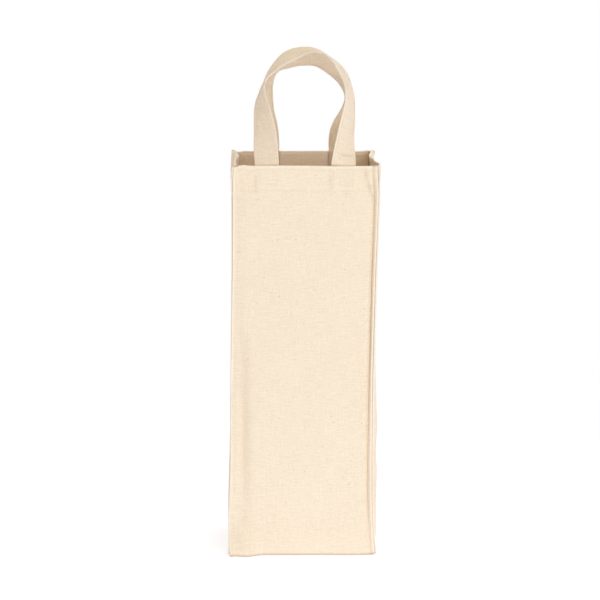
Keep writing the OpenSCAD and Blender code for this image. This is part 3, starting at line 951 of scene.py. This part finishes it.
def ringAt(z, inset):
    # outline round the inside of the walls at height z, anticlockwise from the front left
    one = np.array([z])
    y = bag["panelMid"] - inset
    across = np.linspace(-1, 1, base["across"] + 1)[:-1]
    deep = np.linspace(-1, 1, base["deep"] + 1)[:-1]
    right = gussetOut("right", one, deep)[0] - inset
    left = gussetOut("left", one, deep)[0] - inset
    x0, x1 = -left[0], right[0]
    x2, x3 = right[-1], -left[-1]
    front = np.stack([x0 + (x1 - x0) * (across + 1) / 2, np.full(len(across), -y)], -1)
    back = np.stack([x2 + (x3 - x2) * (across + 1) / 2, np.full(len(across), y)], -1)
    rightSide = np.stack([right, deep * y], -1)
    leftSide = np.stack([-left[::-1], -deep * y], -1)
    ring = np.concatenate([front, rightSide, back, leftSide])
    for _ in range(base["rounds"]):
        ring = 0.25 * np.roll(ring, 1, 0) + 0.5 * ring + 0.25 * np.roll(ring, -1, 0)
    return np.concatenate([ring, np.full((len(ring), 1), z)], 1)


def makeBase():
    c, turnIn = bag["cloth"], base["turn"]
    edge = ringAt(base["outlineAt"], c)[:, :2]
    inner = edge * (1 - turnIn / base["half"])
    low = c / 2 + base["lift"]
    rings, flat = [], []

    def addRing(places, z, cloth):
        rings.append(np.concatenate([places, np.full((len(places), 1), z)], 1))
        flat.append(cloth)

    for share in np.linspace(base["first"], 1, base["rings"]) ** base["crowd"]:
        places = edge * share * (1 - turnIn / base["half"])
        addRing(places, low + base["arch"] * (1 - share ** 2), places)
    for turn in np.linspace(0, math.pi / 2, base["turnRings"])[1:]:
        places = inner + (edge - inner) * math.sin(turn)
        addRing(places, low + turnIn * (1 - math.cos(turn)),
                places * (1 + base["clothTurn"] * turn / base["half"]))
    for z in np.linspace(low + turnIn, c + bag["baseAllowance"], base["upRings"])[1:]:
        addRing(ringAt(z, c)[:, :2], z, edge * (1 + (z + base["clothUp"]) / base["half"]))
    points = settle(np.array(rings))
    rows, columns = points.shape[:2]
    faces = gridFaces(rows, columns, wrap=True).tolist() + endFaces(rows, columns)[:1]
    piece = makeMesh("baseCloth", points.reshape(-1, 3), faces, np.array(flat).reshape(-1, 2))
    thicken(piece)
    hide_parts("base_panel")
    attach(piece, "bag")
    return piece


clothPieces["baseCloth"] = makeBase()
print("base done")


# Handles: folded straps, sewn inside the hem

def strapLine(handle, p):
    # middle line of a strap at distances p along it, from the rim at its left foot, and the distance to
    # its right foot. The ends run down inside
    rise, radius, foot = handle["rise"], strap["loop"] / 2, strap["spacing"] / 2
    leg, arch = rise - radius, math.pi * radius
    total = 2 * leg + arch
    turn = np.clip((p - leg) / arch, 0, 1) * math.pi
    fromFoot = np.minimum(p, total - p)
    side = np.where(p < total / 2, -1.0, 1.0)
    legX = foot + (radius - foot) * ease(fromFoot / leg) ** strap["spread"]
    onArch = (p >= leg) & (p <= total - leg)
    x = np.where(onArch, -radius * np.cos(turn), side * legX)
    z = np.where(onArch, leg + radius * np.sin(turn), fromFoot)
    climb = np.clip(z, 0, None) / rise
    topTurn = math.radians(curved(handle["lie"], 3, np.array(0.5)))
    topY = (strap["gap"] / 2 + strap["leanWidth"] / 2 * math.cos(topTurn)
            + strap["thick"] / 2 * math.sin(topTurn))
    y = strap["foot"] - (strap["foot"] - topY) * climb ** strap["lean"]
    right, higher = (strap["loop"] * curved(handle["lie"], column, p / total) for column in (1, 2))
    lift, over = strap["rimGap"]
    middle = np.stack([x + handle["skew"] * ease(climb) + right, handle["end"] * y,
                       bag["height"] + lift * ease(z / over) + z + higher], -1)
    return middle, total


def strapFrames(handle):
    # rings along a strap: their places, middles and directions
    total = strapLine(handle, np.zeros(1))[1]
    count = round((total + 2 * strap["tail"]) / strap["ring"])
    p = np.linspace(-strap["tail"], total + strap["tail"], count + 1)
    after, before = (strapLine(handle, p + side * strap["aside"])[0] for side in (1, -1))
    along = unit(after - before)
    turn = np.radians(curved(handle["lie"], 3, p / total))[:, None]
    outward = unit(np.stack([-along[:, 2], np.zeros(len(p)), along[:, 0]], -1))
    inward = np.array([0.0, -handle["end"], 0.0])
    wanted = outward * np.sin(turn) + inward * np.cos(turn)
    across = unit(wanted - along * (wanted * along).sum(-1, keepdims=True))
    return {"p": p, "total": total, "middle": strapLine(handle, p)[0], "across": across,
            "through": np.cross(along, across)}


def strapSection():
    # outline of a folded strap, across and through it. Its folded edges meet at one side
    half, body = strap["width"] / 2, strap["thick"] / 2
    x = half * np.sin(math.pi * (np.linspace(0, 1, section["points"]) - 0.5))
    x = np.sign(x) * np.abs(x / half) ** section["crowd"] * half
    off = np.abs(x)
    body = body * (1 - np.abs(x / half) ** section["square"]) ** 0.5
    groove = section["groove"] * bump(off - (half - strap["stitchIn"]), section["grooveWidth"])
    body = body - groove * (off < half - section["grooveEnd"])
    body = body + section["bead"] * bump(off - half + section["beadIn"], section["beadWidth"])
    topSide = np.stack([x, body], -1)[1:-1][::-1]
    lowSide = np.stack([x, -body], -1)[1:-1]
    closed = np.array([[-half - out, high] for out, high in section["closed"]])
    opened = np.array([[half + out, high] for out, high in section["open"]])
    return np.concatenate([topSide, closed, lowSide, opened])


def makeStrap(name, handle):
    shape, outline = strapFrames(handle), strapSection()
    total, length = shape["total"], shape["p"][:, None]
    a, h = outline[:, 0][None, :], outline[:, 1][None, :]
    loose = ease(length / strap["loose"]) * ease((total - length) / strap["loose"])

    def uneven(kind, nextSeed):
        size, along, across = strap[kind]
        return size * softNoise(length, a * across, along, handle["seed"] + nextSeed)

    shift = uneven("cup", 0) * loose * ((a / strap["cupHalf"]) ** 2 - strap["cupLevel"])
    shift = shift + uneven("ripple", 1) * loose
    creased = 0
    for place, low, high, depth in handle["creases"]:
        off = length - place * total - strap["creaseSlant"] * (a - low)
        line = bump(off, strap["creaseWidth"]) * rises(a, low, strap["creaseEnds"])
        line = line * rises(a, high, -strap["creaseEnds"])
        shift = shift - depth * line * np.sign(h)
        creased = creased + shading["crease"] * bump(off, shading["creaseWidth"]) * (
            line > shading["creaseLeast"])
    wide, puff = 1 + uneven("wide", 2), 1 + uneven("puff", 3)
    grown = ((a * wide)[..., None] * shape["across"][:, None, :]
             + (h * puff + shift)[..., None] * shape["through"][:, None, :])
    points = settle(shape["middle"][:, None, :] + grown)
    rows, columns = points.shape[:2]
    faces = gridFaces(rows, columns, wrap=True).tolist() + endFaces(rows, columns)
    uv = np.stack(np.broadcast_arrays(a + strap["clothApart"] * (h > 0), length), -1)
    wornAndLit = np.broadcast_to(bump(np.abs(a) - strap["width"] / 2, wearAndHighlight["strapEdge"]), (rows, columns))
    # painted shade where the strap's ends go into the hem, in its creases, and on the left leg
    inFold = shading["feet"] * rises(np.minimum(length, total - length), *shading["strapFrom"])
    start, over = strap["paintedLegShadeFrom"]
    paintedLegShade = handle["paintedLegShade"] * rises(length, total / 2 - start, -over)
    shade = np.maximum(np.maximum(inFold, paintedLegShade), creased * np.ones((rows, columns)))
    piece = makeMesh(name, points.reshape(-1, 3), faces, uv.reshape(-1, 2),
                     {"wornAndLit": wornAndLit, "shade": shade})
    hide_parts(*handle["nodes"])
    return piece, shape


def bendAtRim(piece):
    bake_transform(piece)


strapPieces, strapShapes = {}, {}
for name, handle in handles.items():
    strapPieces[name], strapShapes[name] = makeStrap(name, handle)
    bendAtRim(strapPieces[name])
print("straps done")


# Stitches: each one a short thread that dips into the cloth at its ends

stitch = {
    "length": 2.3, "pitch": 3.0, "wide": 0.31, "high": 0.2, "rings": 7, "sides": 6,
    "proud": 0.05, "dip": 0.3, "dipSquare": 5,  # how far it stands out, and how its ends sink
    "taper": 0.35, "taperSquare": 6,
    "uneven": 0.14, "wander": 0.12, "skew": 0.6,  # along its row, aside, and turned
    "step": 0.75,  # distance between the points that a row follows
    "girth": 1.6, "apart": 2.0,  # only used to lay the twist on the thread
    "panelReach": 58.5, "gussetReach": 38.5,  # how far out the level rows run along the cloth
    "uprightFrom": 3.0, "uprightTo": 347.0,
    "strapStart": 1.5, "strapSunk": 0.2,
}
onCloth = bag["clothDrawn"] / 2


def stitchRow(points, normals):
    # stitches along a path, given as close points with the surface's normals
    place = np.concatenate([[0], np.cumsum(np.linalg.norm(np.diff(points, axis=0), axis=1))])
    count = max(1, int((place[-1] - stitch["length"]) / stitch["pitch"]) + 1)
    spare = place[-1] - ((count - 1) * stitch["pitch"] + stitch["length"])
    share = np.linspace(-1, 1, stitch["rings"])
    lift = stitch["proud"] - stitch["dip"] * np.abs(share) ** stitch["dipSquare"]
    size = 1 - stitch["taper"] * np.abs(share) ** stitch["taperSquare"]
    turn = np.arange(stitch["sides"]) * 2 * math.pi / stitch["sides"]
    pick = np.random.default_rng(count)
    made = []
    for start in spare / 2 + np.arange(count) * stitch["pitch"]:
        late, aside, skewed = pick.uniform(-1, 1, 3)
        at = start + stitch["uneven"] * late + (share + 1) / 2 * stitch["length"]
        middle, normal = (np.stack([np.interp(at, place, path[:, i]) for i in range(3)], -1)
                          for path in (points, normals))
        normal = unit(normal)
        beside = unit(np.cross(unit(np.gradient(middle, axis=0)), normal))
        strayed = stitch["wander"] * (aside + stitch["skew"] * skewed * share)
        middle = middle + beside * strayed[:, None]
        made.append((middle + normal * lift[:, None])[:, None, :] + size[:, None, None] * (
            beside[:, None, :] * (stitch["wide"] * np.cos(turn))[None, :, None]
            + normal[:, None, :] * (stitch["high"] * np.sin(turn))[None, :, None]))
    return made


def stitchPiece(name, rows, node, handle=None):
    made = [one for points, normals in rows for one in stitchRow(points, normals)]
    rings, sides = stitch["rings"], stitch["sides"]
    quads = gridFaces(rings, sides, wrap=True)
    along = np.repeat(np.linspace(0, stitch["length"], rings), sides)
    turn = np.tile(np.arange(sides) / sides, rings)
    points, faces, uv = [], [], []
    for i, ring in enumerate(made):
        points.append(ring.reshape(-1, 3))
        first = i * rings * sides
        faces += (quads + first).tolist()
        faces += [[v + first for v in end] for end in endFaces(rings, sides)]
        across = turn * stitch["girth"] + i * stitch["apart"]
        uv.append(np.stack([across, along + i * stitch["pitch"]], -1))
    piece = makeMesh(name, np.concatenate(points), faces, np.concatenate(uv))
    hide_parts(node)
    if handle is None:
        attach(piece, "bag")
    else:
        bendAtRim(piece)
    return piece


def levelRow(sheet, reach, t):
    s = np.arange(-reach, reach, stitch["step"])
    return onSheet(sheet, s, np.full(len(s), t), onCloth)


def uprightRow(sheet, s):
    t = np.arange(stitch["uprightFrom"], stitch["uprightTo"], stitch["step"])
    return onSheet(sheet, np.full(len(t), s), t, onCloth)


def boxSides(middle, low, high, wide):
    # the four sides of a box of stitches, as places across and up
    left, right = middle - wide / 2, middle + wide / 2
    corners = [(left, low), (right, low), (right, high), (left, high), (left, low)]
    sides = []
    for (u0, v0), (u1, v1) in zip(corners, corners[1:]):
        count = max(2, round(math.hypot(u1 - u0, v1 - v0) / stitch["step"]))
        sides.append((np.linspace(u0, u1, count), np.linspace(v0, v1, count)))
    return sides


def tailRows(name, handle):
    # the box that holds each tail, on the wall's outer face and on the tail inside
    sheet = frontSheet if handle["end"] < 0 else backSheet
    low = bag["height"] - strap["tail"] + strap["stitchIn"]
    box = (low, bag["height"] - bag["rimStitch"], strap["width"] - 2 * strap["stitchIn"])
    feet = footPlaces(name)
    rows = [onSheet(sheet, s, t, onCloth) for x in feet for s, t in boxSides(-handle["end"] * x, *box)]
    y = handle["end"] * (strap["foot"] - strap["thick"] / 2)
    inward = np.array([0.0, -handle["end"], 0.0])
    for x in feet:
        for u, v in boxSides(x, *box):
            path = np.stack([u, np.full(len(u), y), v], -1)
            rows.append((settle(path), np.broadcast_to(inward, path.shape)))
    return rows


def strapRows(shape):
    # two rows along a strap, on both of its faces
    p, start = shape["p"], stitch["strapStart"]
    on = (p > start) & (p < shape["total"] - start)
    middle, across, through = (shape[k][on] for k in ("middle", "across", "through"))
    rows = []
    for side in (-1, 1):
        for place in (-1, 1):
            path = middle + across * place * (strap["width"] / 2 - strap["stitchIn"])
            path = path + through * side * (strap["thick"] / 2 - stitch["strapSunk"])
            rows.append((settle(path), through * side))
    return rows


def levelRows(fromRim):
    # a row right round the mouth, seen outside and inside at the same distance from the rim
    levels = (bag["height"] - fromRim, frontSheet["hemT"] + fromRim)
    around = ((frontSheet, stitch["panelReach"]), (rightSheet, stitch["gussetReach"]),
              (backSheet, stitch["panelReach"]), (leftSheet, stitch["gussetReach"]))
    return [levelRow(sheet, reach, t) for sheet, reach in around for t in levels]


rimRows, hemRows = levelRows(bag["rimStitch"]), levelRows(bag["hem"] - bag["hemStitch"])
stitchPieces = {
    "rimStitches": stitchPiece("rimStitches", rimRows, "rim_stitching"),
    "hemStitches": stitchPiece("hemStitches", hemRows, "hem_stitching"),
}

# the upright seams: one row seen on the panel, and the same thread seen on the gusset's side
uprights = {
    "frontLeft": (frontSheet, -1, leftSheet, 1, "front_left_edge_stitching"),
    "frontRight": (frontSheet, 1, rightSheet, -1, "front_right_edge_stitching"),
    "backRight": (backSheet, -1, rightSheet, 1, "back_right_edge_stitching"),
    "backLeft": (backSheet, 1, leftSheet, -1, "back_left_edge_stitching"),
}
for name, (panel, panelSide, gusset, gussetSide, node) in uprights.items():
    beside = bag["flange"] - bag["edgeStitch"]
    rows = [uprightRow(panel, panelSide * (bag["panelHalf"] + beside)),
            uprightRow(gusset, gussetSide * (bag["gussetHalf"] + beside))]
    stitchPieces[name + "Stitches"] = stitchPiece(name + "Stitches", rows, node)

for name, handle in handles.items():
    short = name.replace("Strap", "")
    stitchPieces[name + "Stitches"] = stitchPiece(
        name + "Stitches", strapRows(strapShapes[name]), short + "_handle_stitching", handle)
    stitchPieces[short + "TailStitches"] = stitchPiece(
        short + "TailStitches", tailRows(name, handle), short + "_tail_stitching")

ring = ringAt(bag["cloth"] + bag["baseAllowance"] / 2, base["rowInset"] * bag["cloth"])
ring = np.concatenate([ring, ring[:1]])
inwards = -unit(np.cross(np.gradient(ring, axis=0), up))
stitchPieces["baseStitches"] = stitchPiece("baseStitches", [(settle(ring), inwards)], "base_stitching")
print("stitches done")


# Materials: unbleached canvas and its thread. Lengths are in metres, and scales are waves in a metre

weaving = {
    "stray": (70.0, 0.0012),  # yarns aren't straight: the noise's scale, and how far they go
    "round": 0.7, "under": (0.45, 0.55),  # a yarn's section, and how it rises and dips along its way
    "slub": 0.028, "apart": 3.71,  # thick and thin places along a yarn, and their shift to the next one
    "slubTone": (0.25, 0.75), "slubHeight": (0.7, 1.2),
    "gaps": (0.55, 0.1),  # heights at which the gap between yarns starts and is full
}
slubs = {
    "weft": (95.0, 820.0, 1.0), "warp": (720.0, 75.0, 1.0), "shares": (0.62, 0.38),
    "detail": 3.0, "rough": 0.6, "range": (0.33, 0.67),
}
husks = {
    # scale, stretch, and the distances from a fleck's middle at which it is full and gone
    "sizes": ((115.0, (1.0, 1.7, 1.0), 0.05, 0.115), (230.0, (0.55, 1.6, 1.0), 0.04, 0.13),
              (60.0, (1.5, 1.0, 1.0), 0.03, 0.052)),
    "strength": (0.8, 0.2),
}
mottling = {"coarse": (16.0, 3.0, 0.5), "fine": (540.0, 2.0, 0.7), "range": (0.3, 0.7)}


def newGroup(name, inputs, outputs):
    tree = bpy.data.node_groups.new(name, "ShaderNodeTree")
    for label, kind, value in inputs:
        socket = tree.interface.new_socket(label, in_out="INPUT", socket_type="NodeSocket" + kind)
        if value is not None:
            socket.default_value = value
    for label, kind in outputs:
        tree.interface.new_socket(label, in_out="OUTPUT", socket_type="NodeSocket" + kind)
    return tree, tree.nodes.new("NodeGroupInput"), tree.nodes.new("NodeGroupOutput")


def vectors(tree, operation, a, b):
    # b is a vector, or a number for SCALE
    inputs = {0: a, "Scale": b} if operation == "SCALE" else {0: a, 1: b}
    return put(tree, "ShaderNodeVectorMath", inputs, operation=operation).outputs[0]


def noise(tree, vector, scale, detail=2.0, rough=0.5):
    return put(tree, "ShaderNodeTexNoise",
               {"Vector": vector, "Scale": scale, "Detail": detail, "Roughness": rough}).outputs


def weaveGroup():
    # plain weave in the plane of the cloth, with uneven yarns
    tree, given, made = newGroup(
        "plainWeave",
        [("Vector", "Vector", None), ("Yarns", "Float", 1600.0), ("Unevenness", "Float", 1.0)],
        [("Height", "Float"), ("Tone", "Float"), ("Gaps", "Float")])
    cloth = given.outputs["Vector"]
    scale, distance = weaving["stray"]
    stray = vectors(tree, "SUBTRACT", noise(tree, cloth, scale)["Color"], (0.5, 0.5, 0.5))
    far = maths(tree, "MULTIPLY", given.outputs["Unevenness"], distance)
    stray = vectors(tree, "SCALE", stray, far)
    place = vectors(tree, "SCALE", vectors(tree, "ADD", cloth, stray), given.outputs["Yarns"])
    split = put(tree, "ShaderNodeSeparateXYZ", {0: place})
    u, v = split.outputs[0], split.outputs[1]
    cellU, cellV = maths(tree, "FLOOR", u), maths(tree, "FLOOR", v)
    arcU, arcV = (maths(tree, "SINE", maths(tree, "MULTIPLY", maths(tree, "FRACT", k), math.pi))
                  for k in (u, v))
    # chequer is 0 where a warp yarn lies on top and 1 where a weft yarn does
    chequer = maths(tree, "FLOORED_MODULO", maths(tree, "ADD", cellU, cellV), 2.0)
    warp, weft = (
        maths(tree, "MULTIPLY", maths(tree, "POWER", own, weaving["round"]),
              maths(tree, "MULTIPLY_ADD", other, *weaving["under"]))
        for own, other in ((arcU, arcV), (arcV, arcU)))
    # each yarn is thick and thin along its length
    shiftV, shiftU = (maths(tree, "MULTIPLY", cell, weaving["apart"]) for cell in (cellV, cellU))
    alongU, alongV = (maths(tree, "MULTIPLY", k, weaving["slub"]) for k in (u, v))
    toneV, toneU = (
        noise(tree, put(tree, "ShaderNodeCombineXYZ", {0: a, 1: b}).outputs[0], 1.0, 1.0)[0]
        for a, b in ((alongU, shiftV), (shiftU, alongV)))
    height = put(tree, "ShaderNodeMix", {0: chequer, 2: warp, 3: weft}).outputs[0]
    tone = put(tree, "ShaderNodeMix", {0: chequer, 2: toneU, 3: toneV}).outputs[0]
    thick = ramp(tree, tone, *weaving["slubTone"], *weaving["slubHeight"])
    tree.links.new(maths(tree, "MULTIPLY", height, thick), made.inputs["Height"])
    tree.links.new(tone, made.inputs["Tone"])
    tree.links.new(ramp(tree, height, *weaving["gaps"]), made.inputs["Gaps"])
    return tree


def streakGroup():
    # slubs: long uneven streaks along the weft and, weaker, along the warp
    tree, given, made = newGroup("slubStreaks", [("Vector", "Vector", None)], [("Streaks", "Float")])
    weft, warp = (
        noise(tree, vectors(tree, "MULTIPLY", given.outputs[0], slubs[k]), 1.0, slubs["detail"],
              slubs["rough"])[0]
        for k in ("weft", "warp"))
    share, rest = slubs["shares"]
    both = maths(tree, "MULTIPLY_ADD", weft, share, maths(tree, "MULTIPLY", warp, rest))
    tree.links.new(ramp(tree, both, *slubs["range"]), made.inputs[0])
    return tree


def fleckGroup():
    # small brown flecks of seed husk left in the cotton
    tree, given, made = newGroup("huskFlecks", [("Vector", "Vector", None), ("Amount", "Float", 0.5)],
                                 [("Flecks", "Float")])
    total = None
    for scale, stretch, full, gone in husks["sizes"]:
        place = vectors(tree, "MULTIPLY", given.outputs[0], stretch)
        cells = put(tree, "ShaderNodeTexVoronoi", {"Vector": place, "Scale": scale}).outputs
        spot = ramp(tree, cells["Distance"], gone, full)
        pick = put(tree, "ShaderNodeSeparateColor", {0: cells["Color"]}).outputs
        shown = maths(tree, "LESS_THAN", pick[0], given.outputs["Amount"])
        strong = maths(tree, "MULTIPLY_ADD", pick[1], *husks["strength"])
        one = maths(tree, "MULTIPLY", maths(tree, "MULTIPLY", spot, shown), strong)
        total = one if total is None else maths(tree, "MAXIMUM", total, one)
    tree.links.new(total, made.inputs[0])
    return tree


def mottleGroup():
    # soft uneven colour of undyed cloth, coarse and fine
    tree, given, made = newGroup("softMottle", [("Vector", "Vector", None)],
                                 [("Coarse", "Float"), ("Fine", "Float")])
    for i, kind in enumerate(("coarse", "fine")):
        cloudy = noise(tree, given.outputs[0], *mottling[kind])[0]
        tree.links.new(ramp(tree, cloudy, *mottling["range"]), made.inputs[i])
    return tree


groups = {
    "weave": weaveGroup(), "streaks": streakGroup(), "flecks": fleckGroup(), "mottle": mottleGroup(),
}

# What all the canvas shares, with two factors on the colour: painted light inside, painted shade
canvas = {
    "yarns": 1650.0, "flecks": 0.46, "husk": (0.40, 0.25, 0.12, 1),
    "paintedInsideLight": (1.08, 1.038, 1.045, 1), "paintedShadeTint": (0.62, 0.50, 0.40, 1),
    # how much each of these deepens the colour, and where it is all light and all deep
    "coarse": 0.12, "fine": 0.46, "streaks": 0.56, "tone": 0.30, "gaps": 0.16, "depths": (0.35, 1.12),
    "fleckMix": 0.62, "wornAndLitMix": 0.4,
    "rough": (0.86, 0.96), "specular": 0.22, "sheen": 0.12, "sheenRough": 0.55,
    "streakHigh": 0.55, "fineHigh": 0.35, "fleckHigh": 0.4, "bumpDistance": 0.00022,
}
panelCotton = {"light": (0.905, 0.768, 0.564, 1), "deep": (0.772, 0.656, 0.482, 1),
               "wornAndLit": (0.955, 0.87, 0.73, 1), "bump": 0.42}
cottons = {
    "panelCanvas": panelCotton,
    "innerCanvasPaintedLight": {**panelCotton, "inner": 1.0},  # the cloth's inner side, inside the bag, brightened by painted light
    "frontStrapCanvas": {"light": (0.888, 0.748, 0.558, 1), "deep": (0.752, 0.626, 0.462, 1),
                         "wornAndLit": (0.94, 0.85, 0.71, 1), "bump": 0.45},
    # the back strap is paler: painted light, lifting the whole strap, which lies in the front strap's
    # shade
    "backStrapCanvas": {"light": (0.975, 0.812, 0.580, 1), "deep": (0.845, 0.693, 0.487, 1),
                        "wornAndLit": (0.97, 0.88, 0.73, 1), "bump": 0.45},
}
thread = {
    "turn": 0.0008,  # length of one turn of the two strands
    "deep": (0.78, 0.63, 0.46, 1), "light": (0.92, 0.79, 0.62, 1),
    "twist": 0.25, "tones": (-0.25, 1.25),  # how much the twist shows, and the tones' range
    "rough": (0.7, 0.9), "specular": 0.3, "bump": 0.5, "bumpDistance": 0.0001,
}


def newMaterial(name):
    material = bpy.data.materials.new(name)
    material.use_nodes = True
    tree = material.node_tree
    tree.nodes.clear()
    return material, tree, put(tree, "ShaderNodeUVMap", uv_map="cloth").outputs[0]


def canvasMaterial(name, look):
    material, tree, cloth = newMaterial(name)
    wornAndLit, shade, inner = (put(tree, "ShaderNodeAttribute", attribute_name=k).outputs["Fac"]
                          for k in ("wornAndLit", "shade", "inner"))

    def use(key, **inputs):
        return put(tree, "ShaderNodeGroup", {"Vector": cloth, **inputs}, node_tree=groups[key]).outputs

    def add(value, key, total):
        return maths(tree, "MULTIPLY_ADD", value, canvas[key], total)

    def timesColour(colour, factor):
        return mixColour(tree, 1.0, colour, factor, "MULTIPLY")

    weave, mottle = use("weave", Yarns=canvas["yarns"]), use("mottle")
    streaks, flecks = use("streaks")[0], use("flecks", Amount=canvas["flecks"])[0]
    depth = add(mottle["Coarse"], "coarse", maths(tree, "MULTIPLY", mottle["Fine"], canvas["fine"]))
    depth = add(weave["Gaps"], "gaps", add(weave["Tone"], "tone", add(streaks, "streaks", depth)))
    colour = mixColour(tree, ramp(tree, depth, *canvas["depths"]), look["light"], look["deep"])
    flecked, faded = (maths(tree, "MULTIPLY", mask, canvas[k])
                      for mask, k in ((flecks, "fleckMix"), (wornAndLit, "wornAndLitMix")))
    colour = mixColour(tree, flecked, colour, canvas["husk"])
    # paler rubbed folds, lighter still inside the rim by a painted highlight
    colour = mixColour(tree, faded, colour, look["wornAndLit"])
    # painted light on the cloth's inner side, and painted shade where the shade mark lies
    colour = mixColour(tree, look.get("inner", inner), colour, timesColour(colour, canvas["paintedInsideLight"]))
    colour = mixColour(tree, shade, colour, timesColour(colour, canvas["paintedShadeTint"]))
    rough = ramp(tree, maths(tree, "ADD", weave["Gaps"], streaks), 0.0, 2.0, *canvas["rough"])
    height = add(mottle["Fine"], "fineHigh", add(streaks, "streakHigh", weave["Height"]))
    relief = put(tree, "ShaderNodeBump", {
        "Strength": look["bump"], "Distance": canvas["bumpDistance"],
        "Height": add(flecks, "fleckHigh", height)})
    shader = put(tree, "ShaderNodeBsdfPrincipled", {
        "Base Color": colour, "Roughness": rough, "Normal": relief.outputs[0],
        "Specular IOR Level": canvas["specular"], "Sheen Weight": canvas["sheen"],
        "Sheen Roughness": canvas["sheenRough"]})
    put(tree, "ShaderNodeOutputMaterial", {"Surface": shader.outputs[0]})
    return material


def threadMaterial(name):
    # two strands twisted round each other
    material, tree, along = newMaterial(name)
    split = put(tree, "ShaderNodeSeparateXYZ", {0: along}).outputs
    slant = maths(tree, "ADD", split[0], split[1])
    twist = maths(tree, "SINE", maths(tree, "MULTIPLY", slant, 2 * math.pi / thread["turn"]))
    mottle = put(tree, "ShaderNodeGroup", {"Vector": along}, node_tree=groups["mottle"])
    tone = maths(tree, "MULTIPLY_ADD", twist, thread["twist"], mottle.outputs["Fine"])
    colour = mixColour(tree, ramp(tree, tone, *thread["tones"]), thread["deep"], thread["light"])
    relief = put(tree, "ShaderNodeBump", {
        "Strength": thread["bump"], "Distance": thread["bumpDistance"], "Height": twist})
    shader = put(tree, "ShaderNodeBsdfPrincipled", {
        "Base Color": colour, "Roughness": ramp(tree, tone, *thread["tones"], *thread["rough"]),
        "Normal": relief.outputs[0], "Specular IOR Level": thread["specular"]})
    put(tree, "ShaderNodeOutputMaterial", {"Surface": shader.outputs[0]})
    return material


materials = {name: canvasMaterial(name, look) for name, look in cottons.items()}
cottonThread = threadMaterial("cottonThread")
for piece in clothPieces.values():
    piece.data.materials.append(materials["panelCanvas"])
    piece.data.materials.append(materials["innerCanvasPaintedLight"])
for name, piece in strapPieces.items():
    piece.data.materials.append(materials[name + "Canvas"])
for piece in stitchPieces.values():
    piece.data.materials.append(cottonThread)
print("materials done")


print("all done")
